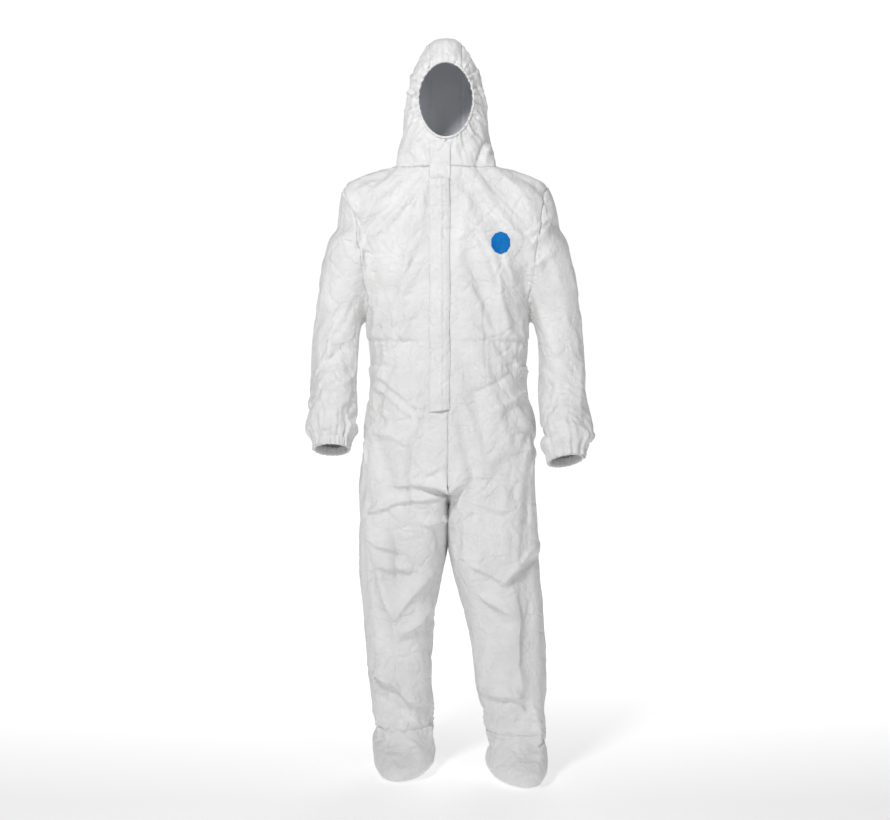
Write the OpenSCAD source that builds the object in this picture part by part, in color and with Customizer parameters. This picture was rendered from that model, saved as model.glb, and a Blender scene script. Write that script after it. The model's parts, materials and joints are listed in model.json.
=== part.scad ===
// Hooded one-piece protective coverall, standing as worn.
// Origin on the floor midway between the soles, +Z up, front towards -Y,
// wearer's left towards +X. All sizes in millimetres.

/* [Overall] */
// Height of the top of the hood
suit_h = 1840; // [1760:5:1900]
// Sideways place of the body's centre line
body_x = -6; // [-20:1:20]
// Place of the body's mid depth plane
body_y = 43; // [20:1:60]
// Thickness of the fabric walls
wall = 1.6; // [1.2:0.1:2.4]

/* [Torso] */
// Half width at the shoulders, sleeve heads included
shoulder_w = 283; // [270:1:295]
// Half width at the armpits
chest_w = 205; // [195:1:212]
// Half width at the waist
waist_w = 197; // [185:1:204]
// Half width at the hips
hip_w = 222; // [212:1:230]
// Height of the shoulder line beside the neck
shoulder_z = 1524; // [1515:1:1530]
// Height of the waist elastic
waist_z = 1064; // [1040:1:1090]
// Depth of the front at the neck
neck_front = 100; // [94:1:106]
// Depth of the back at the shoulder blades
back_depth = 122; // [112:1:130]

/* [Hood] */
// Half width of the hood at ear height
hood_w = 104; // [98:1:110]
// Height of the middle of the face opening
face_z = 1692; // [1680:1:1700]
// Half height of the face opening
face_h = 95; // [88:1:100]
// Half width of the face opening
face_w = 67; // [60:1:72]
// Half width of the hood's centre panel
crown_w = 42; // [36:1:50]

/* [Sleeves] */
// Height of the shoulder hinge
arm_hinge_z = 1445; // [1440:1:1450]
// Distance of the shoulder hinge from the centre line
arm_hinge_x = 200; // [195:1:205]
// Inner radius of the elastic cuff
cuff_r = 40; // [36:0.5:44]
// Length of the elastic cuff
cuff_len = 24; // [18:1:30]
// Forward slope of the cuff
cuff_tilt = 24; // [15:1:30]
// Height of the wearer's right cuff
cuff_right_z = 836; // [820:1:850]
// Height of the wearer's left cuff
cuff_left_z = 808; // [800:1:830]

/* [Legs] */
// Height of the hip hinge
hip_z = 900; // [890:1:910]
// Radius about the hip hinge where torso and leg meet
hip_split = 163; // [160:1:166]
// Height of the seam between leg and sock
ankle_z = 115; // [105:1:130]
// Sideways place of the wearer's right ankle
foot_right_x = -118; // [-125:1:-110]
// Sideways place of the wearer's left ankle
foot_left_x = 166; // [158:1:172]
// How far the wearer's left foot stands forward
stride = 72; // [40:1:90]
// Length of a sole
sole_len = 262; // [240:1:280]

/* [Closure] */
// Sideways place of the zip
zip_x = -24; // [-30:1:-18]
// Height of the zip's top stop
zip_top = 1490; // [1480:1:1492]
// Height of the zip's bottom stop
zip_bottom = 938; // [925:1:960]
// Width of the storm flap
flap_w = 52; // [46:1:56]
// Lean of the zip line from upright
zip_lean = 4.2; // [3.5:0.1:4.6]

/* [Hidden] */
$fn = 64;

// Gap left between sewn neighbours
seam_gap = 0.5;
// Gap left between bodies that move past each other
move_gap = 4;

white = [0.93, 0.93, 0.92];
blue = [0.02, 0.42, 0.72];
trim = [0.88, 0.88, 0.86];

// ---------- surface tools ----------

function spow(v, p) = sign(v) * pow(abs(v), p);
function mix(a, b, s) = a + (b - a) * s;

// Point of a rounded section: t = -90 front, 0 wearer's left, 90 back, 180 wearer's right
function section(t, w, front, back, n) =
    [w * spow(cos(t), 2 / n), (sin(t) > 0 ? back : front) * spow(sin(t), 2 / n)];

// Angle on the front half where the section reaches x
function front_angle(x, w, n) = -acos(spow(max(-1, min(1, x / w)), n / 2));

// Open curved slab: f(u, v, inset) with u anticlockwise seen from above and v upwards
module skin(f, nu, nv, thick) {
    row = nu + 1;
    layer = row * (nv + 1);
    points = [for (k = [0, 1], j = [0:nv], i = [0:nu]) f(i / nu, j / nv, k * thick)];
    outer = [for (j = [0:nv - 1], i = [0:nu - 1]) let (a = j * row + i)
        each [[a, a + row, a + row + 1], [a, a + row + 1, a + 1]]];
    inner = [for (t = outer) [t[0] + layer, t[2] + layer, t[1] + layer]];
    low = [for (i = [0:nu - 1]) each [[i, i + 1, i + 1 + layer], [i, i + 1 + layer, i + layer]]];
    top = [for (i = [0:nu - 1]) let (a = nv * row + i)
        each [[a, a + 1 + layer, a + 1], [a, a + layer, a + 1 + layer]]];
    start = [for (j = [0:nv - 1]) let (a = j * row)
        each [[a, a + row + layer, a + row], [a, a + layer, a + row + layer]]];
    stop = [for (j = [0:nv - 1]) let (a = j * row + nu)
        each [[a, a + row, a + row + layer], [a, a + row + layer, a + layer]]];
    polyhedron(points, concat(outer, inner, low, top, start, stop), convexity = 6);
}

// Closed tube wall: f(t, v, inset) with t in degrees
module tube(f, nu, nv, thick) {
    layer = nu * (nv + 1);
    points = [for (k = [0, 1], j = [0:nv], i = [0:nu - 1]) f(i * 360 / nu, j / nv, k * thick)];
    outer = [for (j = [0:nv - 1], i = [0:nu - 1])
        let (a = j * nu + i, b = j * nu + (i + 1) % nu)
        each [[a, a + nu, b + nu], [a, b + nu, b]]];
    inner = [for (t = outer) [t[0] + layer, t[2] + layer, t[1] + layer]];
    low = [for (i = [0:nu - 1]) let (b = (i + 1) % nu)
        each [[i, b, b + layer], [i, b + layer, i + layer]]];
    top = [for (i = [0:nu - 1]) let (a = nv * nu + i, b = nv * nu + (i + 1) % nu)
        each [[a, b + layer, b], [a, a + layer, b + layer]]];
    polyhedron(points, concat(outer, inner, low, top), convexity = 6);
}

// Mirror image about the body's centre line
module other_side() { translate([2 * body_x, 0, 0]) mirror([1, 0, 0]) children(); }

// ---------- torso ----------

collar_w = 116;
arm_reach_z = 1376;
armpit_z = 1200;
torso_n = 2.7;
zip_slope = tan(zip_lean);

function torso_width(z) = lookup(z, [
    [hip_z - 140, hip_w], [862, 216], [920, 209], [981, waist_w - 1], [waist_z, waist_w],
    [1120, 202], [armpit_z, chest_w], [armpit_z + 80, 232], [arm_reach_z - 60, shoulder_w - 4],
    [arm_reach_z, shoulder_w], [1435, 270], [1455, 260], [1475, 247], [1494, 230],
    [1508, 208], [1516, 182], [1522, 145], [shoulder_z + 2, collar_w], [1580, collar_w - 4]]);
function torso_front(z) = neck_front + (1519 - min(max(z, 900), 1519)) * zip_slope;
function torso_back(z) = lookup(z, [
    [hip_z - 140, 138], [880, 140], [1000, 112], [1100, 104], [1250, 114],
    [1380, back_depth], [1450, 118], [1500, 108], [1519, 102], [1580, 100]]);
function torso_roundness(z) = lookup(z, [[1380, torso_n], [1480, 2.2], [1519, 2]]);
function shoulder_drop(z) = lookup(z, [[1440, 0], [1490, 0.8], [1515, 1], [1526, 0.3], [1540, 0]]);

function torso_point(t, z, inset) =
    let (s = section(t, torso_width(z) - inset, torso_front(z) - inset,
        torso_back(z) - inset, torso_roundness(z)))
    [body_x + s[0], body_y + s[1], z - inset * shoulder_drop(z)];

// Half width where the torso panels end and the sleeve heads begin
function armhole_x(z) = lookup(z, [
    [armpit_z - 10, 400], [armpit_z, chest_w], [armpit_z + 15, 206], [1300, 212],
    [1440, 228], [1478, 236], [1490, 222], [1506, 200], [1512, 400]]);
function armhole_angle(z) =
    armhole_x(z) >= torso_width(z) ? 0
    : front_angle(armhole_x(z), torso_width(z), torso_roundness(z));

// Lower rim of the torso: a round valley about the hip hinge
function rim_z(y, r) = hip_z - sqrt(max(0, r * r - y * y));
// Upper rim of the neck: a round ridge about the hood's hinge
neck_hinge_z = 1440;
neck_split = 125;
function ridge_z(y, r) = neck_hinge_z + sqrt(max(0, r * r - y * y));

torso_rows = [
    0, 0.05, 0.1, 0.16, 0.22, 0.28, 0.34, 0.4, 0.46, 0.52, 0.565, 0.58, 0.595, 0.64, 0.7, 0.76,
    0.82, 0.87, 0.905, 0.93, 0.95, 0.964, 0.975, 0.983, 0.99, 1];
function torso_z(v) = let (k = v * (len(torso_rows) - 1), i = min(floor(k), len(torso_rows) - 2))
    mix(737, shoulder_z, mix(torso_rows[i], torso_rows[i + 1], k - i));

// Point of the torso at height fraction v, bent to the round rims at the ends
function torso_panel_point(t, v, inset) =
    let (
        z = torso_z(v),
        p = torso_point(t, z, inset),
        y = p[1] - body_y,
        low = rim_z(y, hip_split),
        high = ridge_z(y, neck_split),
        z_low = v < 0.16 ? mix(low, torso_z(0.16), v / 0.16) : p[2],
        z_end = v > 0.98 ? mix(p[2], high, (v - 0.98) / 0.02) : z_low
    )
    [p[0], p[1], z_end];

zip_edge = 6;
centre_gap = atan(seam_gap / hip_w);

module front_left_panel() {
    color(white) skin(function(u, v, inset)
        let (
            z = torso_z(v),
            w = torso_width(z),
            n = torso_roundness(z),
            a = front_angle(zip_x - body_x + zip_edge, w, n),
            b = armhole_angle(z) - centre_gap
        )
        torso_panel_point(mix(a, b, u), v, inset), 13, len(torso_rows) - 1, wall);
}

module front_right_panel() {
    color(white) skin(function(u, v, inset)
        let (
            z = torso_z(v),
            w = torso_width(z),
            n = torso_roundness(z),
            a = -180 - armhole_angle(z) + centre_gap,
            b = front_angle(zip_x - body_x - zip_edge, w, n)
        )
        torso_panel_point(mix(a, b, u), v, inset), 11, len(torso_rows) - 1, wall);
}

module back_left_panel() {
    color(white) skin(function(u, v, inset)
        let (z = torso_z(v), a = -armhole_angle(z) + centre_gap)
        torso_panel_point(mix(a, 90 - centre_gap, u), v, inset), 12, len(torso_rows) - 1, wall);
}

module back_right_panel() {
    color(white) skin(function(u, v, inset)
        let (z = torso_z(v), b = 180 + armhole_angle(z) - centre_gap)
        torso_panel_point(mix(90 + centre_gap, b, u), v, inset), 12, len(torso_rows) - 1, wall);
}

// ---------- sleeve heads, which stay with the torso ----------

// Slanted plane where the moving sleeve begins, clear of the shoulder hinge all round:
// its height at distance x from the centre line
arm_outer_x = arm_hinge_x + 84;
arm_outer_z = arm_hinge_z - 58;
arm_slope = 2.2;
function arm_plane(x) = arm_outer_z + arm_slope * (x - arm_outer_x);

module sleeve_head() {
    head_top = 1496;
    armhole_gap = 5;
    edge_angle = function(z)
        front_angle(armhole_x(z) + armhole_gap, torso_width(z), torso_roundness(z));
    color(white) skin(function(u, v, inset)
        let (
            t_rim = mix(edge_angle(arm_outer_z), -edge_angle(arm_outer_z), u),
            rim = arm_plane(section(t_rim, shoulder_w, 1, 1, torso_n)[0]) + move_gap,
            z = mix(rim, head_top, v),
            t = mix(edge_angle(z), -edge_angle(z), u)
        )
        torso_point(t, z, inset), 14, 8, wall);
}

module left_sleeve_head() { sleeve_head(); }

module right_sleeve_head() { other_side() sleeve_head(); }

// ---------- waist, gusset and neck ----------

module inside_band(low, high, depth, thick, tone) {
    a = front_angle(zip_x - body_x + 24, waist_w, torso_n);
    b = 360 + front_angle(zip_x - body_x - 24, waist_w, torso_n);
    color(tone) skin(function(u, v, inset)
        torso_point(mix(a, b, u), mix(low, high, v), depth + inset), 36, 2, thick);
}

module waist_elastic() { inside_band(waist_z - 13, waist_z + 13, 5, 1, trim); }

module waist_tunnel() { inside_band(waist_z - 32, waist_z + 32, 8, 0.8, white); }

module crotch_gusset() {
    gusset_r = hip_split - 6;
    color(white) translate([body_x, body_y, hip_z]) rotate([0, 90, 0])
        rotate([0, 0, -54]) rotate_extrude(angle = 108)
            translate([gusset_r - wall, -32]) square([wall, 64]);
}

module neck_binding() {
    color(trim) tube(function(t, v, inset)
        let (p = torso_point(t, 1545, 4 + inset))
        [p[0], p[1], ridge_z(p[1] - body_y, neck_split - 2) - 14 * (1 - v)], 36, 1, 0.8);
}

module neck_label() {
    color(trim) translate([body_x - 16, body_y + 86, 1478]) cube([32, 0.6, 24]);
}

// ---------- zip and storm flap ----------

// Frame of the zip: x across, -y outwards, z up along the zip from its top stop
module zip_frame() {
    translate([zip_x, body_y - neck_front - (1519 - zip_top) * zip_slope, zip_top])
        rotate([-zip_lean, 0, 0]) children();
}

zip_len = (zip_top - zip_bottom) / cos(zip_lean);
coil_gap = 0.7;
coil_w = 2.6;
coil_d = 2.4;
tape_w = 13;
tape_back = 2.5;

module zip_tape(side) {
    color(white) zip_frame() translate([side > 0 ? 4 : -4 - tape_w, tape_back, -zip_len])
        cube([tape_w, 0.6, zip_len]);
}
module zip_tape_left() { zip_tape(1); }
module zip_tape_right() { zip_tape(-1); }

module zip_coil(side) {
    color(trim) zip_frame() translate([side > 0 ? coil_gap : -coil_gap - coil_w, -0.6, -zip_len + 6])
        cube([coil_w, coil_d, zip_len - 10]);
}
module zip_coil_left() { zip_coil(1); }
module zip_coil_right() { zip_coil(-1); }

module zip_top_stops() {
    color(trim) zip_frame() for (side = [-1, 1])
        translate([side * 2.2 - 1, -0.8, -2.6]) cube([2, 2.8, 3.4]);
}

module zip_bottom_stop() {
    color(trim) zip_frame() translate([-4, -0.8, -zip_len]) cube([8, 2.8, 4.5]);
}

// The slider stands just below the top stops
slider_h = 10;
slider_top = -3.2;
pin_r = 1.3;

module zip_slider() {
    color(trim) zip_frame() translate([0, 0, slider_top - slider_h]) {
        translate([-4.6, -2.4, 0]) cube([9.2, 1.4, slider_h]);
        translate([-3.7, 2.05, 0]) cube([7.4, 0.3, slider_h]);
        translate([-0.4, -1.2, slider_h - 3.5]) cube([0.8, 3.4, 3.5]);
        // headed pin that carries the pull tab
        translate([0, -2, tab_pivot]) rotate([90, 0, 0]) {
            cylinder(r = pin_r, h = 3.2);
            translate([0, 0, 2.9]) cylinder(r = 2.5, h = 0.5);
        }
    }
}

// Flat tab with a hole that the slider's pin passes through
tab_len = 27;
tab_pivot = 4.4;
tab_r = 3.4;
module pull_tab() {
    color(trim) zip_frame() translate([0, -3.6, slider_top - slider_h + tab_pivot])
        rotate([90, 0, 0]) linear_extrude(1.0) difference() {
            union() {
                circle(tab_r);
                translate([-tab_r, tab_r - tab_len]) square([2 * tab_r, tab_len - tab_r]);
                translate([0, tab_r - tab_len]) circle(tab_r);
            }
            circle(pin_r + 0.4);
            translate([0, tab_r - tab_len]) circle(1.4);
        }
}

flap_hinge_x = zip_x + 23;
flap_root_r = 2.4;
flap_hinge_y = -3.6;
flap_face_y = -6.05;
flap_top = -3;
flap_bottom = -(zip_top - 919) / cos(zip_lean);
flap_sheet = 1.2;
flap_slant = 8;

// Sewn fold that the storm flap swings about
module flap_piping() {
    color(white) zip_frame()
        translate([flap_hinge_x - zip_x, flap_hinge_y, flap_bottom + flap_slant])
            cylinder(r = flap_root_r, h = flap_top - flap_bottom - flap_slant);
}

module storm_flap() {
    color(white) zip_frame()
        translate([flap_hinge_x - zip_x, flap_face_y - flap_sheet, 0]) rotate([90, 0, 180])
            linear_extrude(flap_sheet) polygon([
                [0, flap_bottom + flap_slant], [0, flap_top],
                [flap_w, flap_top], [flap_w, flap_bottom]]);
}

module flap_adhesive() {
    color(trim) zip_frame()
        translate([flap_hinge_x - zip_x - flap_w + 2, flap_face_y, flap_bottom + 14])
            cube([11, 0.4, flap_top - flap_bottom - 28]);
}

// ---------- chest badge ----------

badge_x = 129;
badge_z = 1338;
module chest_badge() {
    w = torso_width(badge_z);
    spot = torso_point(front_angle(badge_x, w, torso_n), badge_z, -2);
    color(blue) translate(spot) rotate([0, 0, 8]) rotate([90 - zip_lean, 0, 0])
        linear_extrude(0.8) scale([0.92, 1]) rotate(18) circle(r = 27, $fn = 10);
}

// ---------- hood ----------

hood_x = -6;
hood_n = 2.2;
hood_top = 1822;
hem_r = 4.5;
// Gap left between the centre panel of the hood and its sides
crown_gap = 2;

function hood_width(z) = lookup(z, [
    [1524, 122], [1573, 115], [1613, 109], [1672, hood_w], [1731, 94], [1771, 84],
    [1791, 74], [1811, 57], [hood_top, 45]]);
function hood_front(z) = lookup(z, [
    [1524, 98], [1613, 101], [1672, 100], [1731, 94], [1771, 83], [1791, 72], [1811, 52],
    [hood_top, 38]]);
function hood_back(z) = lookup(z, [
    [1524, 104], [1600, 112], [1672, 121], [1731, 121], [1771, 111], [1791, 99],
    [1811, 78], [hood_top, 62]]);
function hood_point(t, z, inset) =
    let (s = section(t, hood_width(z) - inset, hood_front(z) - inset,
        hood_back(z) - inset, hood_n))
    [body_x + hood_x + s[0], body_y + s[1], z];

// Half width of the face opening at height z, cut back by the hem
function oval_x(z, grow) =
    let (s = (z - face_z) / (face_h + grow))
    abs(s) >= 1 ? 0 : (face_w + grow) * sqrt(1 - s * s);
function hood_edge_x(z) = max(
    oval_x(z, hem_r + 1),
    z > face_z ? (z > 1760 ? crown_w + crown_gap : 0) : 3);

module hood_side() {
    color(white) skin(function(u, v, inset)
        let (
            z = mix(1527, hood_top - 3, v),
            w = hood_width(z),
            front = front_angle(hood_edge_x(z), w, hood_n),
            back = -front_angle(crown_w + crown_gap, w, hood_n),
            t = mix(front, back, u),
            p = hood_point(t, z, inset),
            ridge = ridge_z(p[1] - body_y, neck_split + move_gap)
        )
        [p[0], p[1], v < 0.2 ? mix(ridge, mix(1527, hood_top - 3, 0.2), v / 0.2) : z],
        16, 20, wall);
}

module hood_left_panel() { hood_side(); }

module hood_right_panel() {
    color(white) translate([2 * (body_x + hood_x), 0, 0]) mirror([1, 0, 0]) hood_side();
}

// Centre strip: up the back, over the crown and down to the forehead
function depth_at(x, z, depth) = let (s = min(1, x / hood_width(z)))
    depth * pow(1 - pow(s, hood_n), 1 / hood_n);
forehead_z = face_z + hem_r + 1;
function strip_edge(s) =
    s < 0.45 ? let (z = mix(1550, hood_top, s / 0.45)) [depth_at(crown_w, z, hood_back(z)), z]
    : s < 0.7 ? let (k = (s - 0.45) / 0.25)
        [mix(depth_at(crown_w, hood_top, hood_back(hood_top)),
            -depth_at(crown_w, hood_top, hood_front(hood_top)), k), hood_top + 4 * sin(180 * k)]
    : let (k = (s - 0.7) / 0.3,
        z = mix(hood_top, forehead_z + face_h * sqrt(1 - pow(crown_w / face_w, 2)) + 3, k))
        [-depth_at(crown_w, z, hood_front(z)), z];
function strip_centre(s) =
    s < 0.45 ? let (z = mix(1524, hood_top, s / 0.45)) [hood_back(z), z]
    : s < 0.7 ? let (k = (s - 0.45) / 0.25)
        [mix(hood_back(hood_top), -hood_front(hood_top), k),
            hood_top + (suit_h - hood_top) * sin(180 * k)]
    : let (k = (s - 0.7) / 0.3, z = mix(hood_top, forehead_z + face_h + 2, k))
        [-hood_front(z), z];

module hood_centre_panel() {
    color(white) skin(function(u, v, inset)
        let (
            x = mix(crown_w, -crown_w, u),
            k = pow(x / crown_w, 2),
            c = strip_centre(v),
            e = strip_edge(v),
            y = mix(c[0], e[0], k),
            z = mix(c[1], e[1], k),
            over = max(0, min(1, (z - 1780) / 40))
        )
        [body_x + hood_x + x, body_y + y - sign(y) * inset * (1 - over * 0.6), z - inset * over],
        8, 26, wall);
}

function hem_spine(a) = let (x = face_w * cos(a), z = face_z + face_h * sin(a))
    [x, -depth_at(abs(x), z, hood_front(z)), z];

module face_ring(r, back, sides, tone) {
    color(tone) polyhedron_ring([for (i = [0:39]) let (a = i * 9, c = hem_spine(a))
        [for (j = [0:sides - 1]) let (b = j * 360 / sides)
            [body_x + hood_x + c[0] + r * cos(b) * cos(a),
                body_y + c[1] + back + r * sin(b),
                c[2] + r * cos(b) * sin(a)]]]);
}

// Closed ring through a loop of sections
module polyhedron_ring(loops) {
    n = len(loops);
    m = len(loops[0]);
    polyhedron([for (l = loops) each l], [for (i = [0:n - 1], j = [0:m - 1])
        let (a = i * m + j, b = i * m + (j + 1) % m,
            c = ((i + 1) % n) * m + j, d = ((i + 1) % n) * m + (j + 1) % m)
        each [[a, b, d], [a, d, c]]], convexity = 4);
}

module face_hem() { face_ring(hem_r, 0, 8, white); }

module face_elastic() { face_ring(1.4, hem_r + 2.4, 6, trim); }

module chin_flap() {
    stand = 2.6;
    top_z = face_z - face_h - hem_r - 4;
    color(white) skin(function(u, v, inset)
        let (
            z = mix(1519, top_z, v),
            w = hood_width(z) + stand,
            a = front_angle(flap_hinge_x - flap_w - body_x - hood_x, w, hood_n),
            b = front_angle(flap_hinge_x - body_x - hood_x, w, hood_n),
            p = hood_point(mix(a, b, u), z, inset - stand),
            ridge = ridge_z(p[1] - body_y, neck_split + move_gap)
        )
        [p[0], p[1], mix(ridge, top_z, v)], 5, 6, 1.2);
}

// ---------- sleeves ----------

arm_tilt = tan(cuff_tilt);
cuff_x = 289;
cuff_y = -112;
sleeve_x = [[0, 246], [0.2, 268], [0.35, 282], [0.6, 289], [0.85, 290], [1, cuff_x]];
sleeve_w = [[0, 38], [0.1, 49], [0.2, 57], [0.6, 57], [0.85, 60], [0.95, 55], [1, 44]];
sleeve_y = [[0, 4], [0.35, 8], [0.6, -12], [0.85, -72], [1, cuff_y]];
sleeve_d = [[0, 84], [0.2, 78], [0.35, 70], [0.6, 64], [0.85, 62], [0.95, 56], [1, 44]];
sleeve_lean = [[0, arm_slope], [0.2, 1], [0.35, 0.4], [0.6, 0.1], [0.85, 0], [1, 0]];
sleeve_pitch = [[0, 0], [0.4, 0.05], [0.7, 0.25], [1, arm_tilt]];
sleeve_round = [[0, 3], [0.3, 2.4], [1, 2]];

module sleeve(cuff_z, roll) {
    rise = (cuff_len / 2 + 1) * cos(cuff_tilt);
    color(white) tube(function(t, v, inset)
        let (
            s = 1 - v,
            c = section(t, lookup(s, sleeve_w) - inset, lookup(s, sleeve_d) - inset,
                lookup(s, sleeve_d) - inset, lookup(s, sleeve_round)),
            top_z = arm_plane(lookup(0, sleeve_x)),
            z = mix(top_z, cuff_z + rise, s)
        )
        [body_x + lookup(s, sleeve_x) + c[0],
            body_y + lookup(s, sleeve_y) + c[1] + s * rise * arm_tilt,
            z + c[0] * (lookup(s, sleeve_lean) + s * s * tan(roll)) - c[1] * lookup(s, sleeve_pitch)],
        24, 17, wall);
}

// Frame of a cuff: z up along the forearm, origin in the middle of the opening
module cuff_frame(cuff_z, roll) {
    translate([body_x + cuff_x, body_y + cuff_y, cuff_z]) rotate([-cuff_tilt, -roll, 0]) children();
}

hem_wall = 4.6;
module cuff_hem(cuff_z, roll) {
    color(white) cuff_frame(cuff_z, roll) rotate_extrude() difference() {
        translate([cuff_r, -cuff_len / 2]) square([hem_wall, cuff_len]);
        translate([cuff_r + 1, -cuff_len / 2 + 3]) square([hem_wall - 2, cuff_len - 6]);
    }
}

module cuff_elastic(cuff_z, roll) {
    color(trim) cuff_frame(cuff_z, roll) rotate_extrude()
        translate([cuff_r + 1.6, -cuff_len / 2 + 4]) square([1.3, cuff_len - 8]);
}

cuff_roll = 10;
module left_sleeve() { sleeve(cuff_left_z, cuff_roll); }
module left_cuff_hem() { cuff_hem(cuff_left_z, cuff_roll); }
module left_cuff_elastic() { cuff_elastic(cuff_left_z, cuff_roll); }
module right_sleeve() { other_side() sleeve(cuff_right_z, 0); }
module right_cuff_hem() { other_side() cuff_hem(cuff_right_z, 0); }
module right_cuff_elastic() { other_side() cuff_elastic(cuff_right_z, 0); }

// ---------- legs and socks ----------

leg_n = 2.5;
split_gap = 4;
// Tables of each leg: middle place and half width by height
right_leg_x = [[ankle_z, foot_right_x - 2], [210, -124], [309, -133], [400, -131], [506, -126],
    [600, -120], [760, body_x - split_gap - 108]];
right_leg_w = [[ankle_z, 75], [170, 79], [210, 82], [309, 84], [400, 89], [506, 102],
    [600, 107], [760, 108]];
left_leg_x = [[ankle_z, foot_left_x - 2], [170, 157], [210, 159], [309, 149], [400, 136],
    [506, 118], [600, 107], [760, body_x + split_gap + 108]];
left_leg_w = [[ankle_z, 76], [170, 78], [210, 86], [309, 91], [400, 95], [506, 104],
    [600, 108], [760, 108]];
leg_front = [[ankle_z, 76], [210, 80], [309, 84], [480, 104], [600, 122], [760, 138], [860, 140]];
leg_back = [[ankle_z, 76], [210, 84], [309, 94], [480, 100], [600, 118], [760, 134], [860, 136]];

function leg_shift(z, forward) = 4 - forward * max(0, 1 - z / 780) - 10 * sin(min(180, z * 180 / 900));

module leg(xs, ws, forward, a, b) {
    low = ankle_z + 1;
    color(white) skin(function(u, v, inset)
        let (
            z = mix(low, 800, v),
            s = section(mix(a, b, u), lookup(z, ws) - inset, lookup(z, leg_front) - inset,
                lookup(z, leg_back) - inset, leg_n),
            y = s[1] + leg_shift(z, forward),
            rim = rim_z(y, hip_split + move_gap)
        )
        [lookup(z, xs) + s[0], body_y + y, v > 0.8 ? mix(mix(low, 800, 0.8), rim, (v - 0.8) * 5) : z],
        16, 20, wall);
}

module left_leg_front() { leg(left_leg_x, left_leg_w, stride, -180 + 0.3, -0.3); }
module left_leg_back() { leg(left_leg_x, left_leg_w, stride, 0.3, 180 - 0.3); }
module right_leg_front() { leg(right_leg_x, right_leg_w, 0, -180 + 0.3, -0.3); }
module right_leg_back() { leg(right_leg_x, right_leg_w, 0, 0.3, 180 - 0.3); }

sole_t = 2;
heel_r = 38;
toe_r = 47;
heel_end = 88;
sock_w = [[sole_t, 54], [25, 66], [50, 73], [ankle_z, 75.5]];
sock_front = [[sole_t, sole_len - heel_end], [30, sole_len - heel_end], [60, 140], [90, 92],
    [ankle_z, 76]];
sock_back = [[sole_t, heel_end - 4], [30, heel_end], [ankle_z, 76]];
toe_turn = 12;

module foot_frame(x, forward, turn) {
    translate([x, body_y + leg_shift(ankle_z, forward), 0]) rotate(turn) children();
}

module sock_upper(x, forward, turn) {
    low = sole_t + 0.6;
    color(white) foot_frame(x, forward, turn) tube(function(t, v, inset)
        let (
            z = mix(low, ankle_z - seam_gap, v),
            s = section(t, lookup(z, sock_w) - inset, lookup(z, sock_front) - inset,
                lookup(z, sock_back) - inset, 2.2)
        )
        [s[0], s[1], z], 28, 9, wall);
}

module sock_sole(x, forward, turn) {
    toe_y = -(sole_len - heel_end - toe_r);
    heel_y = heel_end - heel_r - 2;
    color(white) foot_frame(x, forward, turn) linear_extrude(sole_t) {
        translate([0, toe_y]) circle(toe_r);
        translate([0, heel_y]) circle(heel_r);
        polygon([[toe_r, toe_y], [heel_r, heel_y], [-heel_r, heel_y], [-toe_r, toe_y]]);
    }
}

module left_sock_upper() { sock_upper(foot_left_x, stride, toe_turn); }
module left_sock_sole() { sock_sole(foot_left_x, stride, toe_turn); }
module right_sock_upper() { sock_upper(foot_right_x, 0, -3); }
module right_sock_sole() { sock_sole(foot_right_x, 0, -3); }

front_left_panel();
front_right_panel();
back_left_panel();
back_right_panel();
left_sleeve_head();
right_sleeve_head();
waist_elastic();
waist_tunnel();
crotch_gusset();
zip_tape_left();
zip_tape_right();
zip_coil_left();
zip_coil_right();
zip_top_stops();
zip_bottom_stop();
chest_badge();
neck_binding();
neck_label();
zip_slider();
pull_tab();
storm_flap();
flap_piping();
flap_adhesive();
hood_left_panel();
hood_right_panel();
hood_centre_panel();
face_hem();
face_elastic();
chin_flap();
left_sleeve();
left_cuff_hem();
left_cuff_elastic();
right_sleeve();
right_cuff_hem();
right_cuff_elastic();
left_leg_front();
left_leg_back();
left_sock_upper();
left_sock_sole();
right_leg_front();
right_leg_back();
right_sock_upper();
right_sock_sole();
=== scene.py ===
"""Hooded protective coverall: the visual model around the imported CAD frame."""
import json
import math
import bpy
import bmesh
import numpy as np
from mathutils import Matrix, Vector
from mathutils.bvhtree import BVHTree
from mathutils.kdtree import KDTree


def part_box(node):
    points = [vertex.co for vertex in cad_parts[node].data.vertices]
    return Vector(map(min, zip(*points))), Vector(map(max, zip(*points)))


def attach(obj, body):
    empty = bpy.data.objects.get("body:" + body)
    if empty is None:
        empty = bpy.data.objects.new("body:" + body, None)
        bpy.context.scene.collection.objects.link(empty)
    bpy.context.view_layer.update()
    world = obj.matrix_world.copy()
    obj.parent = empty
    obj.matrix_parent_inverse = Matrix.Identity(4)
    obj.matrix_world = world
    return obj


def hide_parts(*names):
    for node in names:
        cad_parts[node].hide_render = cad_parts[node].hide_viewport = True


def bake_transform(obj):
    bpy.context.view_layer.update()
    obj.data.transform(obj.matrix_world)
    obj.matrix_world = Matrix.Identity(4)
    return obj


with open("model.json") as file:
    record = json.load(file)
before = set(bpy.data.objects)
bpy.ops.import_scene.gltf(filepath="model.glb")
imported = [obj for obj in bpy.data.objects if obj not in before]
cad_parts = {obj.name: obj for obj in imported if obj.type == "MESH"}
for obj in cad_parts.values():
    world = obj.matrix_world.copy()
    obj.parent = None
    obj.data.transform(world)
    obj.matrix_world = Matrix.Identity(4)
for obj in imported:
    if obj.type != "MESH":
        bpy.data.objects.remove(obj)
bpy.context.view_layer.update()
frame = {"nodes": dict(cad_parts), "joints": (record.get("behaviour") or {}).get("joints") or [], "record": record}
nodes = frame["nodes"]
joints = {j["name"]: j for j in frame["joints"]}
mounts = {m["name"]: m for m in frame["record"]["mounts"]}
scene = bpy.context.scene

# ---------------------------------------------------------------- places from the frame

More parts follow.
